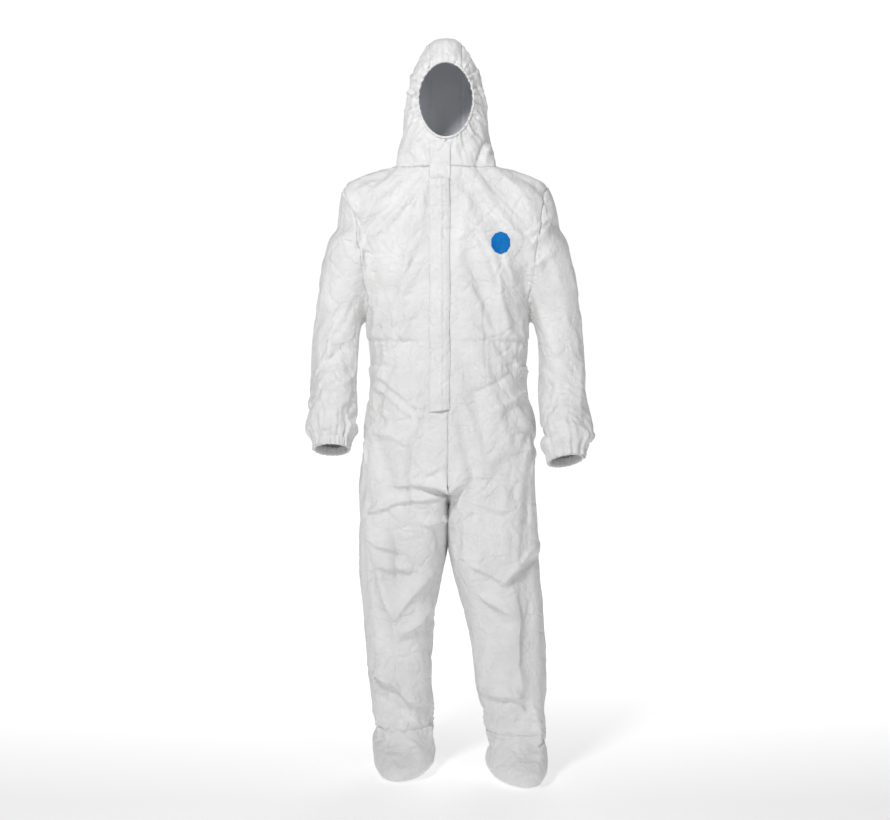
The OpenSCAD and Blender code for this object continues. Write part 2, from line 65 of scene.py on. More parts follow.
TORSO_CAD = ["front_left_panel", "front_right_panel", "back_left_panel", "back_right_panel",
             "left_sleeve_head", "right_sleeve_head"]
HOOD_CAD = ["hood_left_panel", "hood_right_panel", "hood_centre_panel"]
body_x = joints["left_hip"]["pos_m"][0] / 2 + joints["right_hip"]["pos_m"][0] / 2
body_y = joints["hood_nod"]["pos_m"][1]
hood_x = joints["hood_nod"]["pos_m"][0]
hip_z = joints["left_hip"]["pos_m"][2]
neck_z = 1.527
ankle_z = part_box("left_sock_upper")[1].z
suit_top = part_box("hood_centre_panel")[1].z
face = mounts["face_opening_rim"]["pos_m"]
face_lo, face_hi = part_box("face_hem")
HEM_R = 0.0045
face_w = (face_hi.x - face_lo.x) / 2 - HEM_R
face_h = (face_hi.z - face_lo.z) / 2 - HEM_R
crotch_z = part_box("front_left_panel")[0].z

VOXEL = 0.0075
# Seams, measured from the body's centre line: the armhole runs between these two points
ARM_TOP = (0.246, 1.494)
ARM_LOW = (0.202, 1.196)
ARMPIT_Z = 1.185


def cuff_frame(side):
    """Middle of a sleeve's end and the direction out of it."""
    mount = mounts[side + "_cuff"]
    return np.array(mount["pos_m"]), np.array(mount["axis"])


def cut(names, z):
    """Extents x0, x1, y0, y1 of CAD nodes where the plane at height z cuts them."""
    found = []
    for n in names:
        me = nodes[n].data
        co = np.array([v.co for v in me.vertices])
        ed = np.array([e.vertices[:] for e in me.edges])
        a, b = co[ed[:, 0]], co[ed[:, 1]]
        k = (a[:, 2] - z) * (b[:, 2] - z) < 0
        if k.any():
            a, b = a[k], b[k]
            s = ((z - a[:, 2]) / (b[:, 2] - a[:, 2]))[:, None]
            found.append(a + (b - a) * s)
    p = np.vstack(found)
    return [p[:, 0].min(), p[:, 0].max(), p[:, 1].min(), p[:, 1].max()]


def sections(names, heights):
    """Rows of z, x0, x1, y0, y1 cut from the CAD nodes."""
    return np.array([[z] + cut(names, z) for z in heights])


def smooth_rows(rows, step):
    """Rows resampled evenly in height with a smooth curve through them."""
    z = np.arange(rows[0, 0], rows[-1, 0], step)
    out = [z]
    for k in range(1, rows.shape[1]):
        m = np.gradient(rows[:, k], rows[:, 0])
        i = np.clip(np.searchsorted(rows[:, 0], z, side="right") - 1, 0, len(rows) - 2)
        h = rows[i + 1, 0] - rows[i, 0]
        t = (z - rows[i, 0]) / h
        out.append((2*t**3 - 3*t**2 + 1) * rows[i, k] + (t**3 - 2*t**2 + t) * h * m[i]
                   + (3*t**2 - 2*t**3) * rows[i + 1, k] + (t**3 - t**2) * h * m[i + 1])
    return np.array(out).T


def ring(row, n, sides=72, mid_y=None):
    """One rounded section as sides x 3 points. mid_y is where its front and back halves meet."""
    z, x0, x1, y0, y1 = row
    a = np.linspace(0, 2 * math.pi, sides, endpoint=False)
    cx, w = (x0 + x1) / 2, (x1 - x0) / 2
    cy = (y0 + y1) / 2 if mid_y is None else mid_y
    c, s = np.cos(a), np.sin(a)
    x = cx + w * np.sign(c) * np.abs(c) ** (2 / n)
    y = cy + np.where(s > 0, y1 - cy, cy - y0) * np.sign(s) * np.abs(s) ** (2 / n)
    return np.column_stack([x, y, np.full(sides, z)])


def mesh_object(name, verts, faces):
    me = bpy.data.meshes.new(name)
    me.from_pydata([tuple(v) for v in verts], [], faces)
    me.validate()
    me.update()
    ob = bpy.data.objects.new(name, me)
    scene.collection.objects.link(ob)
    return ob


def smooth(ob):
    for p in ob.data.polygons:
        p.use_smooth = True


def thickened(ob, thick, offset):
    """Gives a sheet its thickness, inward for offset -1 and outward for 1."""
    m = ob.modifiers.new("thickness", "SOLIDIFY")
    m.thickness, m.offset = thick, offset
    return m


def grid_faces(rows, columns, around=False, closed=False, start=0):
    """Quads of a grid of points. around joins the ends of each row, closed the last row to the first."""
    faces = []
    for j in range(rows if closed else rows - 1):
        low = start + j * columns
        high = start + (j + 1) % rows * columns
        for i in range(columns if around else columns - 1):
            beside = (i + 1) % columns
            faces.append((low + i, low + beside, high + beside, high + i))
    return faces


def closed_loft(name, rings):
    """Closed solid through a stack of rings, lowest first."""
    n = len(rings[0])
    verts = np.vstack(rings + [rings[0].mean(0)[None], rings[-1].mean(0)[None]])
    faces = grid_faces(len(rings), n, around=True)
    low, top, last = len(rings) * n, len(rings) * n + 1, (len(rings) - 1) * n
    faces += [(low, (i+1) % n, i) for i in range(n)]
    faces += [(top, last + i, last + (i+1) % n) for i in range(n)]
    return mesh_object(name, verts, faces)


# ---------------------------------------------------------------- the suit's base surface

def torso_solid():
    z_flat = hip_z - 0.03
    low = cut(TORSO_CAD, z_flat)
    heights = [z_flat + 0.005, 0.93, 0.98, 1.02, 1.064, 1.12, 1.18, 1.24, 1.3, 1.35, 1.39, 1.42, 1.445,
               1.465, 1.48, 1.492, 1.502, 1.51, 1.516, 1.521, 1.524]
    rows = sections(TORSO_CAD, heights)
    below = np.array([[z, *cut(["front_left_panel", "front_right_panel"], z)[:2], *low[2:]]
                      for z in (crotch_z + 0.005, 0.78, 0.83)])
    rows = smooth_rows(np.vstack([below, rows]), 0.012)
    rings = [ring(r, np.interp(r[0], [1.38, 1.48, 1.52], [2.7, 2.25, 2.05]), 120, body_y)
             for r in rows]
    top = np.array(rows[-1])
    for dz, grow in ((0.006, -0.012), (0.03, -0.02)):
        last = top + [dz, -grow, grow, -grow * 0.5, grow * 0.5]
        rings.append(ring(last, 2.05, 120, body_y))
    return closed_loft("torso_base", rings)


def hood_solid():
    heights = [1.572, 1.6, 1.64, 1.68, 1.72, 1.75, 1.775, 1.795, 1.81, 1.819]
    rows = sections(HOOD_CAD, heights)
    neck = rows[0] + [0, -0.004, 0.004, 0, -0.004]
    lowest = np.array([1.5, neck[1] - 0.008, neck[2] + 0.006, neck[3] + 0.008, neck[4] - 0.01])
    seam = np.array([1.533, neck[1] - 0.004, neck[2] + 0.004, neck[3] + 0.003, neck[4] - 0.006])
    rows = smooth_rows(np.vstack([lowest, seam, rows]), 0.008)
    rings = [ring(r, 2.2, 96, body_y) for r in rows]
    base = rows[-1]
    cx, cy = (base[1] + base[2]) / 2, body_y + 0.012
    for k in (0.35, 0.6, 0.8, 0.93):
        s = math.sqrt(1 - k * k)
        z = base[0] + (suit_top - 0.001 - base[0]) * k
        r = [z, cx + (base[1] - cx) * s, cx + (base[2] - cx) * s,
             cy + (base[3] - cy) * s, cy + (base[4] - cy) * s]
        rings.append(ring(r, 2.1, 96, cy))
    return closed_loft("hood_base", rings)


def sleeve_solid(side):
    name = "left" if side > 0 else "right"
    parts = [name + "_sleeve", name + "_sleeve_head"]
    cuff, down = cuff_frame(name)
    heights = np.linspace(cuff[2] + 0.05, 1.36, 12)
    rows = sections(parts, heights)
    far = 2 if side > 0 else 1
    near = 3 - far
    armpit = np.interp(ARMPIT_Z, rows[:, 0], rows[:, near])
    for r in rows:
        if r[0] > ARMPIT_Z:
            r[near] = armpit - side * min(0.05, (r[0] - ARMPIT_Z) * 0.5)
    top = rows[-1].copy()
    rows = np.vstack([rows, top + [0.035, 0, 0, 0.012, -0.012]])
    rows[-1, far] -= side * 0.03
    rows = smooth_rows(rows, 0.014)
    rings = [ring(r, 2.2, 64) for r in rows]
    across = np.cross(down, [0, 1, 0])
    across /= np.linalg.norm(across)
    across *= -np.sign(across[0])
    deep = np.cross(across, down)
    a = np.linspace(0, 2 * math.pi, 64, endpoint=False)
    ends = []
    for along, r in ((0.026, 0.0435), (-0.008, 0.0435), (-0.02, 0.047), (-0.034, 0.053)):
        c = cuff + down * along
        pts = c + r * (np.cos(a)[:, None] * -across + np.sin(a)[:, None] * -np.sign(deep[1]) * -deep)
        ends.append(pts)
    return closed_loft(name + "_arm_base", ends + rings)


def leg_solid(side):
    name = "left" if side > 0 else "right"
    legs = [name + "_leg_front", name + "_leg_back"]
    sock = [name + "_sock_upper"]
    foot = sections(sock, [0.006, 0.014, 0.03, 0.05, 0.07, 0.09, 0.105])
    rows = sections(legs, [0.13, 0.17, 0.21, 0.26, 0.31, 0.36, 0.4, 0.46, 0.52, 0.58, 0.64, 0.7])
    top = rows[-1].copy()
    near = 1 if side > 0 else 2
    rows[:, near] += side * 0.0025
    rows = np.vstack([foot, rows, top + [0.03, 0, 0, 0, 0], top + [0.1, 0.01, -0.01, 0.012, -0.012]])
    rows = smooth_rows(rows, 0.01)
    rings = [ring(r, np.interp(r[0], [0, 0.1, 0.5], [2.2, 2.2, 2.5]), 72) for r in rows]
    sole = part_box(name + "_sock_sole")
    middle = (sole[0] + sole[1]) / 2
    turn = math.radians(12 if side > 0 else -3)
    sock_c = np.array([middle.x, middle.y])
    for p in rings:
        k = np.clip((ankle_z - p[:, 2]) / ankle_z, 0, 1)[0]
        axis_x = sock_c[0] + (p[:, 1] - sock_c[1]) * -math.tan(turn)
        p[:, 0] += (axis_x - p[:, 0].mean()) * k ** 0.6
        p[:, 0] -= (p[:, 0] - axis_x) * k ** 0.6 * 0.22 * (1 if turn > 0.1 else 0.0)
    return closed_loft(name + "_leg_base", rings)


def join(objects, name):
    bpy.ops.object.select_all(action="DESELECT")
    for o in objects:
        o.select_set(True)
    bpy.context.view_layer.objects.active = objects[0]
    bpy.ops.object.join()
    objects[0].name = name
    return objects[0]


def applied(ob):
    """The object's mesh with its modifiers applied."""
    dg = bpy.context.evaluated_depsgraph_get()
    me = bpy.data.meshes.new_from_object(ob.evaluated_get(dg))
    ob.modifiers.clear()
    old = ob.data
    ob.data = me
    bpy.data.meshes.remove(old)
    return ob


def remeshed(ob, size):
    m = ob.modifiers.new("remesh", "REMESH")
    m.mode, m.voxel_size, m.adaptivity = "VOXEL", size, 0
    return applied(ob)


def read(items, name, width, kind=float):
    """One property of every item as an array, width numbers to a row."""
    out = np.empty(len(items) * width, kind)
    items.foreach_get(name, out)
    return out.reshape(-1, width) if width > 1 else out


def coords(me):
    return read(me.vertices, "co", 3)


def set_coords(me, co):
    me.vertices.foreach_set("co", np.ascontiguousarray(co, dtype=np.float32).ravel())
    me.update()


def edge_array(me):
    return read(me.edges, "vertices", 2, int)


def relax(co, edges, rounds):
    """Laplacian smoothing of points along edges."""
    n = len(co)
    deg = np.bincount(edges.ravel(), minlength=n)[:, None].clip(1)
    for _ in range(rounds):
        s = np.zeros_like(co)
        for k in range(3):
            s[:, k] = (np.bincount(edges[:, 0], co[edges[:, 1], k], n)
                       + np.bincount(edges[:, 1], co[edges[:, 0], k], n))
        co = co + (s / deg - co) * 0.5
    return co


def normals(me):
    return read(me.vertices, "normal", 3)


def delete_where(me, gone):
    """Removes the vertices where gone is true, and the faces at them."""
    bm = bmesh.new()
    bm.from_mesh(me)
    bm.verts.ensure_lookup_table()
    bmesh.ops.delete(bm, geom=[bm.verts[i] for i in np.flatnonzero(gone)], context="VERTS")
    bm.to_mesh(me)
    bm.free()
    me.update()


def boundary(me):
    """True for vertices on an open edge."""
    uses = np.bincount(read(me.loops, "edge_index", 1, int), minlength=len(me.edges))
    open_edges = edge_array(me)[uses == 1]
    out = np.zeros(len(me.vertices), bool)
    out[open_edges.ravel()] = True
    return out


def face_polar(co):
    """Place in the oval of the face opening: radius 1 on the rim, and angle."""
    u, v = (co[:, 0] - face[0]) / face_w, (co[:, 2] - face[2]) / face_h
    return np.hypot(u, v), np.arctan2(v, u)


def open_up(me):
    """Cuts the face opening and the cuffs, and pulls the cut edges onto their true lines."""
    co = coords(me)
    r, _ = face_polar(co)
    gone = (r < 1.0) & (co[:, 1] < body_y)
    for side in ("left", "right"):
        c, d = cuff_frame(side)
        along = (co - c) @ d
        near = np.linalg.norm(co - c, axis=1) < 0.075
        gone |= near & (along > 0.011)
    delete_where(me, gone)
    co, rim = coords(me), boundary(me)
    r, a = face_polar(co)
    k = rim & (co[:, 2] > 1.5)
    co[k, 0] = face[0] + face_w * np.cos(a[k])
    co[k, 2] = face[2] + face_h * np.sin(a[k])
    for side in ("left", "right"):
        c, d = cuff_frame(side)
        k = rim & (np.linalg.norm(co - c, axis=1) < 0.09)
        co[k] -= ((co[k] - c) @ d - 0.011)[:, None] * d
    set_coords(me, co)


def smoothstep(a, b, x):
    t = np.clip((x - a) / (b - a), 0, 1)
    return t * t * (3 - 2 * t)


def hold_weights(co):
    """How firmly each point of the fabric stays in place while it drapes, from 0 to 1."""
    r, _ = face_polar(co)
    front = co[:, 1] < body_y
    w = np.where(front, 1 - smoothstep(1.02, 1.18, r), 0)
    for side in ("left", "right"):
        c, d = cuff_frame(side)
        near = np.linalg.norm(co - c, axis=1) < 0.1
        w = np.maximum(w, near * smoothstep(-0.035, -0.012, (co - c) @ d))
    flap_lo, flap_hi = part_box("storm_flap")
    x = np.abs(co[:, 0] - (flap_lo.x + flap_hi.x) / 2)
    strip = (1 - smoothstep(0.028, 0.045, x)) * smoothstep(flap_lo.z - 0.04, flap_lo.z, co[:, 2])
    w = np.maximum(w, np.where(front & (co[:, 2] < 1.6), strip, 0))
    w = np.maximum(w, 1 - smoothstep(0.006, 0.02, co[:, 2]))
    return w


def slack_weights(co):
    """How much spare cloth each region has, from 0 to 1."""
    x, z = np.abs(co[:, 0] - body_x), co[:, 2]
    w = np.interp(z, [0, 0.1, 0.2, 0.4, 0.6, 0.8, 0.95, 1.1, 1.25, 1.45, 1.53, 1.84],
                  [0.3, 0.9, 1, 0.7, 0.6, 0.6, 0.8, 0.8, 0.4, 0.3, 0.35, 0.15])
    arm = x > arm_limit(z)
    return np.where(arm & (z > 0.75), 0.85, w)


def arm_limit(z):
    """Distance from the centre line that parts sleeve from body at height z."""
    return np.interp(z, [0.75, 0.84, 0.95, 1.1, ARM_LOW[1], ARM_TOP[1]],
                     [0.235, 0.224, 0.218, 0.214, ARM_LOW[0], ARM_TOP[0]])


def weight_group(ob, name, w):
    g = ob.vertex_groups.new(name=name)
    for level in range(1, 11):
        ids = np.flatnonzero((w > (level - 1) / 10) & (w <= level / 10)).tolist()
        if ids:
            g.add(ids, level / 10, "REPLACE")


def drape(ob, frames):
    """Cloth simulation of the whole suit over a slightly smaller form of itself."""
    form = ob.copy()
    form.data = ob.data.copy()
    scene.collection.objects.link(form)
    co = coords(form.data)
    set_coords(form.data, relax(co - normals(form.data) * FORM_GAP, edge_array(form.data), 3))
    form.modifiers.new("form", "COLLISION")
    form.collision.thickness_outer = 0.002
    form.collision.cloth_friction = 12
    form.collision.use_culling = False
    rest = coords(ob.data)
    weight_group(ob, "hold", hold_weights(rest))
    weight_group(ob, "slack", slack_weights(rest))
    m = ob.modifiers.new("cloth", "CLOTH")
    s = m.settings
    s.quality, s.mass = 5, 0.05
    s.tension_stiffness = s.compression_stiffness = 60
    s.shear_stiffness = 30
    s.bending_model = "ANGULAR"
    s.bending_stiffness = 1.5
    s.tension_damping = s.compression_damping = s.shear_damping = 10
    s.bending_damping = 1
    s.air_damping = 2
    s.vertex_group_shrink = "slack"
    s.shrink_min, s.shrink_max = -0.01, -SLACK
    s.vertex_group_mass = "hold"
    s.pin_stiffness = 2
    s.effector_weights.gravity = 0.3
    m.collision_settings.distance_min = 0.003
    m.collision_settings.collision_quality = 2
    m.point_cache.frame_start, m.point_cache.frame_end = 1, frames
    scene.frame_start, scene.frame_end = 1, frames
    for f in range(1, frames + 1):
        scene.frame_set(f)
    applied(ob)
    scene.frame_set(1)
    ob.vertex_groups.clear()
    bpy.data.objects.remove(form)


def tamed(rest, draped, edges):
    """The draped folds without the general sag, and no fold deeper than FOLD_CAP."""
    d = draped - rest
    d -= 0.9 * relax(d, edges, 90)
    size = np.linalg.norm(d, axis=1)[:, None].clip(1e-9)
    return rest + d * FOLD_CAP * np.tanh(size * FOLD_GAIN / FOLD_CAP) / size


FORM_GAP = 0.016
SLACK = 0.07
FOLD_CAP = 0.016
FOLD_GAIN = 1.2
DRAPE_FRAMES = 22
base = join([torso_solid(), hood_solid(), sleeve_solid(1), sleeve_solid(-1), leg_solid(1), leg_solid(-1)],
            "suit_base")
remeshed(base, VOXEL)
set_coords(base.data, relax(coords(base.data), edge_array(base.data), 6))
open_up(base.data)
rest = coords(base.data)
drape(base, DRAPE_FRAMES)
now = tamed(rest, coords(base.data), edge_array(base.data))

# ---------------------------------------------------------------- seams and panels

LABELS = ["gap", "front_left", "front_right", "back_left", "back_right", "left_sleeve", "right_sleeve",
          "hood_left", "hood_right", "hood_crown", "left_sock", "right_sock"]
CROWN_HALF = 0.042
OPEN_Z = 0.93
# Left of the body the side seam comes forward below this height, and by this much at the floor
SIDE_FROM = 0.78
SIDE_FORWARD = 0.072
zip_box = [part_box("zip_tape_right"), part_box("zip_tape_left")]
zip_x = (zip_box[0][0].x + zip_box[1][1].x) / 2
ZIP_HALF = 0.006


def side_y(co):
    """Depth of the side seams: level with the body's middle, forward with the left leg below."""
    forward = np.where(co[:, 0] > body_x, SIDE_FORWARD, 0) * np.clip(1 - co[:, 2] / SIDE_FROM, 0, 1)
    return body_y - forward


def panel_of(co):
    """Number in LABELS of the panel that each point of the rest shape belongs to."""
    x, z = co[:, 0] - body_x, co[:, 2]
    front = co[:, 1] < side_y(co)
    left = x > 0
    out = np.where(front, np.where(left, 1, 2), np.where(left, 3, 4))
    zip_line = front & (z > OPEN_Z)
    out[zip_line & (np.abs(co[:, 0] - zip_x) < ZIP_HALF)] = 0
    out[zip_line & (co[:, 0] < zip_x - ZIP_HALF) & left] = 2
    out[zip_line & (co[:, 0] > zip_x + ZIP_HALF)] = 1
    arm = (np.abs(x) > arm_limit(z)) & (z > 0.75) & (z < neck_z)
    out[arm] = np.where(left, 5, 6)[arm]
    hood = (z > neck_z) & (np.abs(x) < 0.16)
    out[hood] = np.where(co[:, 0] > hood_x, 7, 8)[hood]
    crown = hood & (np.abs(co[:, 0] - hood_x) < CROWN_HALF) & ((co[:, 1] > body_y) | (z > 1.72))
    out[crown] = 9
    out[z < ankle_z] = np.where(left, 10, 11)[z < ankle_z]
    return out


def seam_cuts():
    """Planes that the seams lie in: a point, a normal, and which faces they may cut."""
    lean = np.array([ARM_TOP[1] - ARM_LOW[1], ARM_LOW[0] - ARM_TOP[0]])
    lean /= np.linalg.norm(lean)
    body = [
        ((0, 0, neck_z), (0, 0, 1), lambda c: np.abs(c[:, 0] - body_x) < 0.16),
        ((0, 0, ankle_z), (0, 0, 1), lambda c: c[:, 2] < 0.2),
        ((0, 0, OPEN_Z), (0, 0, 1), lambda c: (c[:, 1] < 0) & (np.abs(c[:, 0] - zip_x) < 0.05)),
        ((hood_x, 0, 0), (1, 0, 0), lambda c: (c[:, 2] > neck_z) & (c[:, 2] < 1.65) & (c[:, 1] < 0)),
        ((body_x, 0, 0), (1, 0, 0), lambda c: (c[:, 2] < neck_z) & (c[:, 1] > 0)),
        ((body_x, 0, 0), (1, 0, 0), lambda c: (c[:, 2] < OPEN_Z) & (c[:, 1] < 0.02)),
        ((0, body_y, 0), (0, 1, 0), lambda c: (c[:, 2] > SIDE_FROM) & (c[:, 2] < 1.25)),
        ((0, body_y, 0), (0, 1, 0), lambda c: (c[:, 2] > 1.25) & (c[:, 2] < neck_z)),
        ((0, body_y, 0), (0, 1, 0), lambda c: (c[:, 2] < SIDE_FROM) & (c[:, 0] < body_x)),
        ((0, body_y, SIDE_FROM), (0, SIDE_FROM, -SIDE_FORWARD),
         lambda c: (c[:, 2] < SIDE_FROM) & (c[:, 0] > body_x)),
    ]
    for s in (-1, 1):
        body.append(((hood_x + s * CROWN_HALF, 0, 0), (1, 0, 0), lambda c: c[:, 2] > neck_z))
        body.append(((zip_x + s * ZIP_HALF, 0, 0), (1, 0, 0),
                     lambda c: (c[:, 2] > OPEN_Z) & (c[:, 2] < neck_z) & (c[:, 1] < 0)))
        body.append(((body_x + s * ARM_LOW[0], 0, ARM_LOW[1]), (s * lean[0], 0, lean[1]),
                     lambda c, s=s: ((c[:, 0] - body_x) * s > 0.15) & (c[:, 2] > 1.18)))
    return body


def cut_seams(me, shape):
    """Cuts the rest mesh along every seam, and gives the cut mesh the draped shape.
    Returns the rest place of each of its vertices."""
    layer = me.attributes.new("shape", "FLOAT_VECTOR", "POINT")
    layer.data.foreach_set("vector", shape.astype(np.float32).ravel())
    bm = bmesh.new()
    bm.from_mesh(me)
    for point, normal, where in seam_cuts():
        bm.faces.ensure_lookup_table()
        centres = np.array([f.calc_center_median() for f in bm.faces])
        off = np.abs((centres - point) @ normal) / np.linalg.norm(normal)
        faces = [bm.faces[i] for i in np.flatnonzero(where(centres) & (off < 2 * VOXEL))]
        geom = faces + list({e for f in faces for e in f.edges}) + list({v for f in faces for v in f.verts})
        bmesh.ops.bisect_plane(bm, geom=geom, dist=0.0009, plane_co=point, plane_no=normal)
    bm.to_mesh(me)
    bm.free()
    out = coords(me)
    layer = me.attributes["shape"]
    draped = read(layer.data, "vector", 3, np.float32)
    me.attributes.remove(layer)
    set_coords(me, draped)
    return out


def add_attribute(me, name, values):
    kind = "FLOAT_VECTOR" if values.ndim == 2 else "FLOAT"
    a = me.attributes.new(name, kind, "POINT")
    a.data.foreach_set("vector" if values.ndim == 2 else "value", values.astype(np.float32).ravel())


# ---------------------------------------------------------------- noise

def scatter(cell, seed):
    """Three numbers from 0 to 1 for each whole-number cell."""
    n = (cell[:, 0] * 73856093) ^ (cell[:, 1] * 19349663) ^ (cell[:, 2] * 83492791) ^ (seed * 2654435761)
    out = []
    for k in range(3):
        n = (n * 1103515245 + 12345 + k) & 0x7FFFFFFF
        m = ((n >> 13) ^ n) * 1274126177 & 0x7FFFFFFF
        out.append(((m >> 8) & 0xFFFF) / 65535)
    return np.array(out).T


def noise(p, size, seed):
    """Smooth noise from -1 to 1."""
    q = p / size
    low = np.floor(q).astype(np.int64)
    f = q - low
    f = f * f * (3 - 2 * f)
    total = np.zeros(len(p))
    for corner in np.ndindex(2, 2, 2):
        w = np.prod(np.where(corner, f, 1 - f), axis=1)
        total += w * scatter(low + corner, seed)[:, 0]
    return total * 2 - 1


def cells(p, size, seed):
    """Distances to the nearest and second nearest of points scattered one per cell, in cells."""
    q = p / size
    low = np.floor(q).astype(np.int64)
    first = np.full(len(p), 9.0)
    second = first.copy()
    for step in np.ndindex(3, 3, 3):
        c = low + step - 1
        d = np.linalg.norm(c + scatter(c, seed) - q, axis=1)
        second = np.minimum(second, np.maximum(d, first))
        first = np.minimum(first, d)
    return first, second


def pleats(p, count, size, seed):
    """Sharp folds in a few directions, each in its own patches, from -1 to 1."""
    rng = np.random.default_rng(seed)
    total = np.zeros(len(p))
    for k in range(count):
        d = rng.normal(size=3)
        d /= np.linalg.norm(d)
        wave = size * rng.uniform(0.7, 1.5)
        t = p @ d / wave + 0.55 * noise(p, size * 1.8, seed + 7 * k + 1)
        tri = 4 * np.abs(t - np.floor(t) - 0.5) - 1
        patch = smoothstep(-0.05, 0.45, noise(p, size * 2.2, seed + 7 * k + 2))
        total += tri * patch
    return total / math.sqrt(count)


def creases(p, size, seed):
    """Thin lines that wander over the cloth, 1 on the line and 0 away from it, fading in and out."""
    line = (1 - np.abs(noise(p, size, seed))) ** 9
    return line * smoothstep(-0.1, 0.5, noise(p, size * 1.3, seed + 1))


# ---------------------------------------------------------------- gathers, folds and creases

# Folds laid on the front: x and z of both ends, half width, height, all in metres.
# A ridge stands out, a negative height is a furrow.
FRONT_FOLDS = [
    (-0.155, 0.736, -0.017, 0.748, 0.008, 0.006),
    (-0.165, 0.692, -0.012, 0.709, 0.008, 0.006),
    (-0.205, 0.660, -0.143, 0.692, 0.009, 0.007),
    (-0.077, 0.637, -0.017, 0.647, 0.009, 0.005),
    (-0.183, 0.593, -0.133, 0.566, 0.009, 0.007),
    (-0.183, 0.538, -0.094, 0.521, 0.009, 0.007),
    (-0.218, 0.687, -0.130, 0.333, 0.017, 0.015),
    (-0.133, 0.412, -0.049, 0.521, 0.014, 0.007),
    (-0.116, 0.356, -0.044, 0.432, 0.013, 0.008),
    (-0.205, 0.267, -0.077, 0.180, 0.012, 0.014),
    (-0.200, 0.205, -0.100, 0.150, 0.012, -0.004),
    (-0.155, 0.114, -0.106, 0.113, 0.008, 0.006),
    (0.205, 0.580, 0.121, 0.494, 0.010, 0.009),
    (0.215, 0.555, 0.138, 0.499, 0.009, -0.008),
    (0.049, 0.543, 0.138, 0.499, 0.009, 0.006),
    (0.182, 0.202, 0.160, 0.467, 0.024, 0.014),
    (0.072, 0.467, 0.148, 0.417, 0.010, 0.006),
    (0.094, 0.440, 0.140, 0.380, 0.010, -0.005),
    (0.138, 0.240, 0.175, 0.203, 0.009, 0.009),
    (0.094, 0.212, 0.175, 0.210, 0.009, 0.008),
    (0.204, 0.190, 0.220, 0.080, 0.010, 0.009),
    (0.010, 0.770, 0.193, 0.748, 0.009, 0.005),
    (0.050, 0.700, 0.180, 0.660, 0.010, 0.004),
    (-0.259, 1.470, -0.227, 1.403, 0.009, 0.009),
    (-0.230, 1.403, -0.205, 1.277, 0.010, -0.007),
    (-0.309, 1.110, -0.306, 1.050, 0.009, 0.009),
    (-0.330, 1.010, -0.300, 0.900, 0.010, 0.006),
    (0.259, 1.418, 0.193, 1.366, 0.010, 0.010),
    (0.251, 1.390, 0.202, 1.340, 0.009, 0.009),
    (0.248, 1.324, 0.207, 1.282, 0.009, 0.008),
    (0.227, 1.470, 0.240, 1.430, 0.010, -0.006),
    (0.330, 1.060, 0.318, 0.930, 0.010, 0.006),
    (-0.069, 1.484, -0.126, 1.235, 0.017, 0.007),
    (-0.106, 1.319, -0.126, 1.178, 0.014, 0.005),
    (0.045, 1.465, 0.010, 1.277, 0.015, 0.005),
    (0.103, 1.288, 0.144, 1.110, 0.012, 0.008),
    (0.025, 1.246, 0.077, 1.173, 0.012, 0.005),
    (0.133, 1.324, 0.150, 1.230, 0.011, 0.006),
    (0.165, 1.033, 0.196, 1.013, 0.008, 0.009),
    (0.150, 1.110, 0.190, 1.060, 0.009, 0.008),
    (0.190, 0.970, 0.098, 0.919, 0.010, 0.007),
    (0.160, 1.020, 0.050, 0.965, 0.010, -0.005),
    (-0.191, 1.008, -0.059, 0.919, 0.011, 0.007),
    (-0.194, 0.980, -0.079, 0.898, 0.010, 0.006),
    (-0.205, 0.867, -0.100, 0.840, 0.010, 0.005),
    (-0.059, 0.768, -0.012, 0.799, 0.008, 0.007),
    (-0.085, 1.590, -0.060, 1.540, 0.008, -0.005),
    (0.086, 1.600, 0.062, 1.530, 0.007, -0.007),
    (0.094, 1.590, 0.080, 1.530, 0.007, 0.006),
]
LEG_FOLD = 1.4
WAIST_HALF = 0.032
waist_z = (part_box("waist_elastic")[0].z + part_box("waist_elastic")[1].z) / 2


def laid_folds(p):
    """Height of the listed folds at rest points on the front."""
    h = np.zeros(len(p))
    front = smoothstep(0.0, -0.02, p[:, 1] - body_y + 0.02)
    q = p[:, [0, 2]] + 0.006 * np.column_stack([noise(p, 0.05, 31), noise(p, 0.05, 32)])
    for x0, z0, x1, z1, half, height in FRONT_FOLDS:
        a, b = np.array([x0, z0]), np.array([x1, z1])
        along = (q - a) @ (b - a) / ((b - a) @ (b - a))
        t = np.clip(along, 0, 1)
        off = q - (a + t[:, None] * (b - a))
        d = np.linalg.norm(off, axis=1) / half
        side = np.sign(off @ np.array([b[1] - a[1], a[0] - b[0]]))
        sharp = np.where(side > 0, np.exp(-d * 2.4), np.exp(-(d * 0.62) ** 2))
        deep = LEG_FOLD if max(z0, z1) < 0.76 else 1
        h += deep * height * sharp * np.clip(1.25 - np.abs(2 * t - 1) ** 3, 0, 1)
    return h * front


def face_gathers(p):
    """Radial gathers round the elastic face opening, strongest at its sides."""
    r, a = face_polar(p)
    near = np.exp(-((r - 1).clip(0) / 0.38) ** 1.3) * (p[:, 1] < body_y) * (p[:, 2] > 1.54)
    sides = 0.25 + 0.75 * np.cos(a) ** 2
    wander = 1.2 * noise(p, 0.03, 41) + 0.8 * (r - 1)
    wave = np.sin(34 * a + 3 * wander) + 0.6 * np.sin(53 * a + 4 * wander + 1)
    wide = np.exp(-((r - 1).clip(0) / 0.8) ** 2) * (p[:, 1] < body_y) * (p[:, 2] > 1.56)
    slow = np.sin(15 * a + 2.5 * wander)
    return sides * (0.0040 * wave * near + 0.0036 * slow * wide * smoothstep(1.0, 1.25, r))


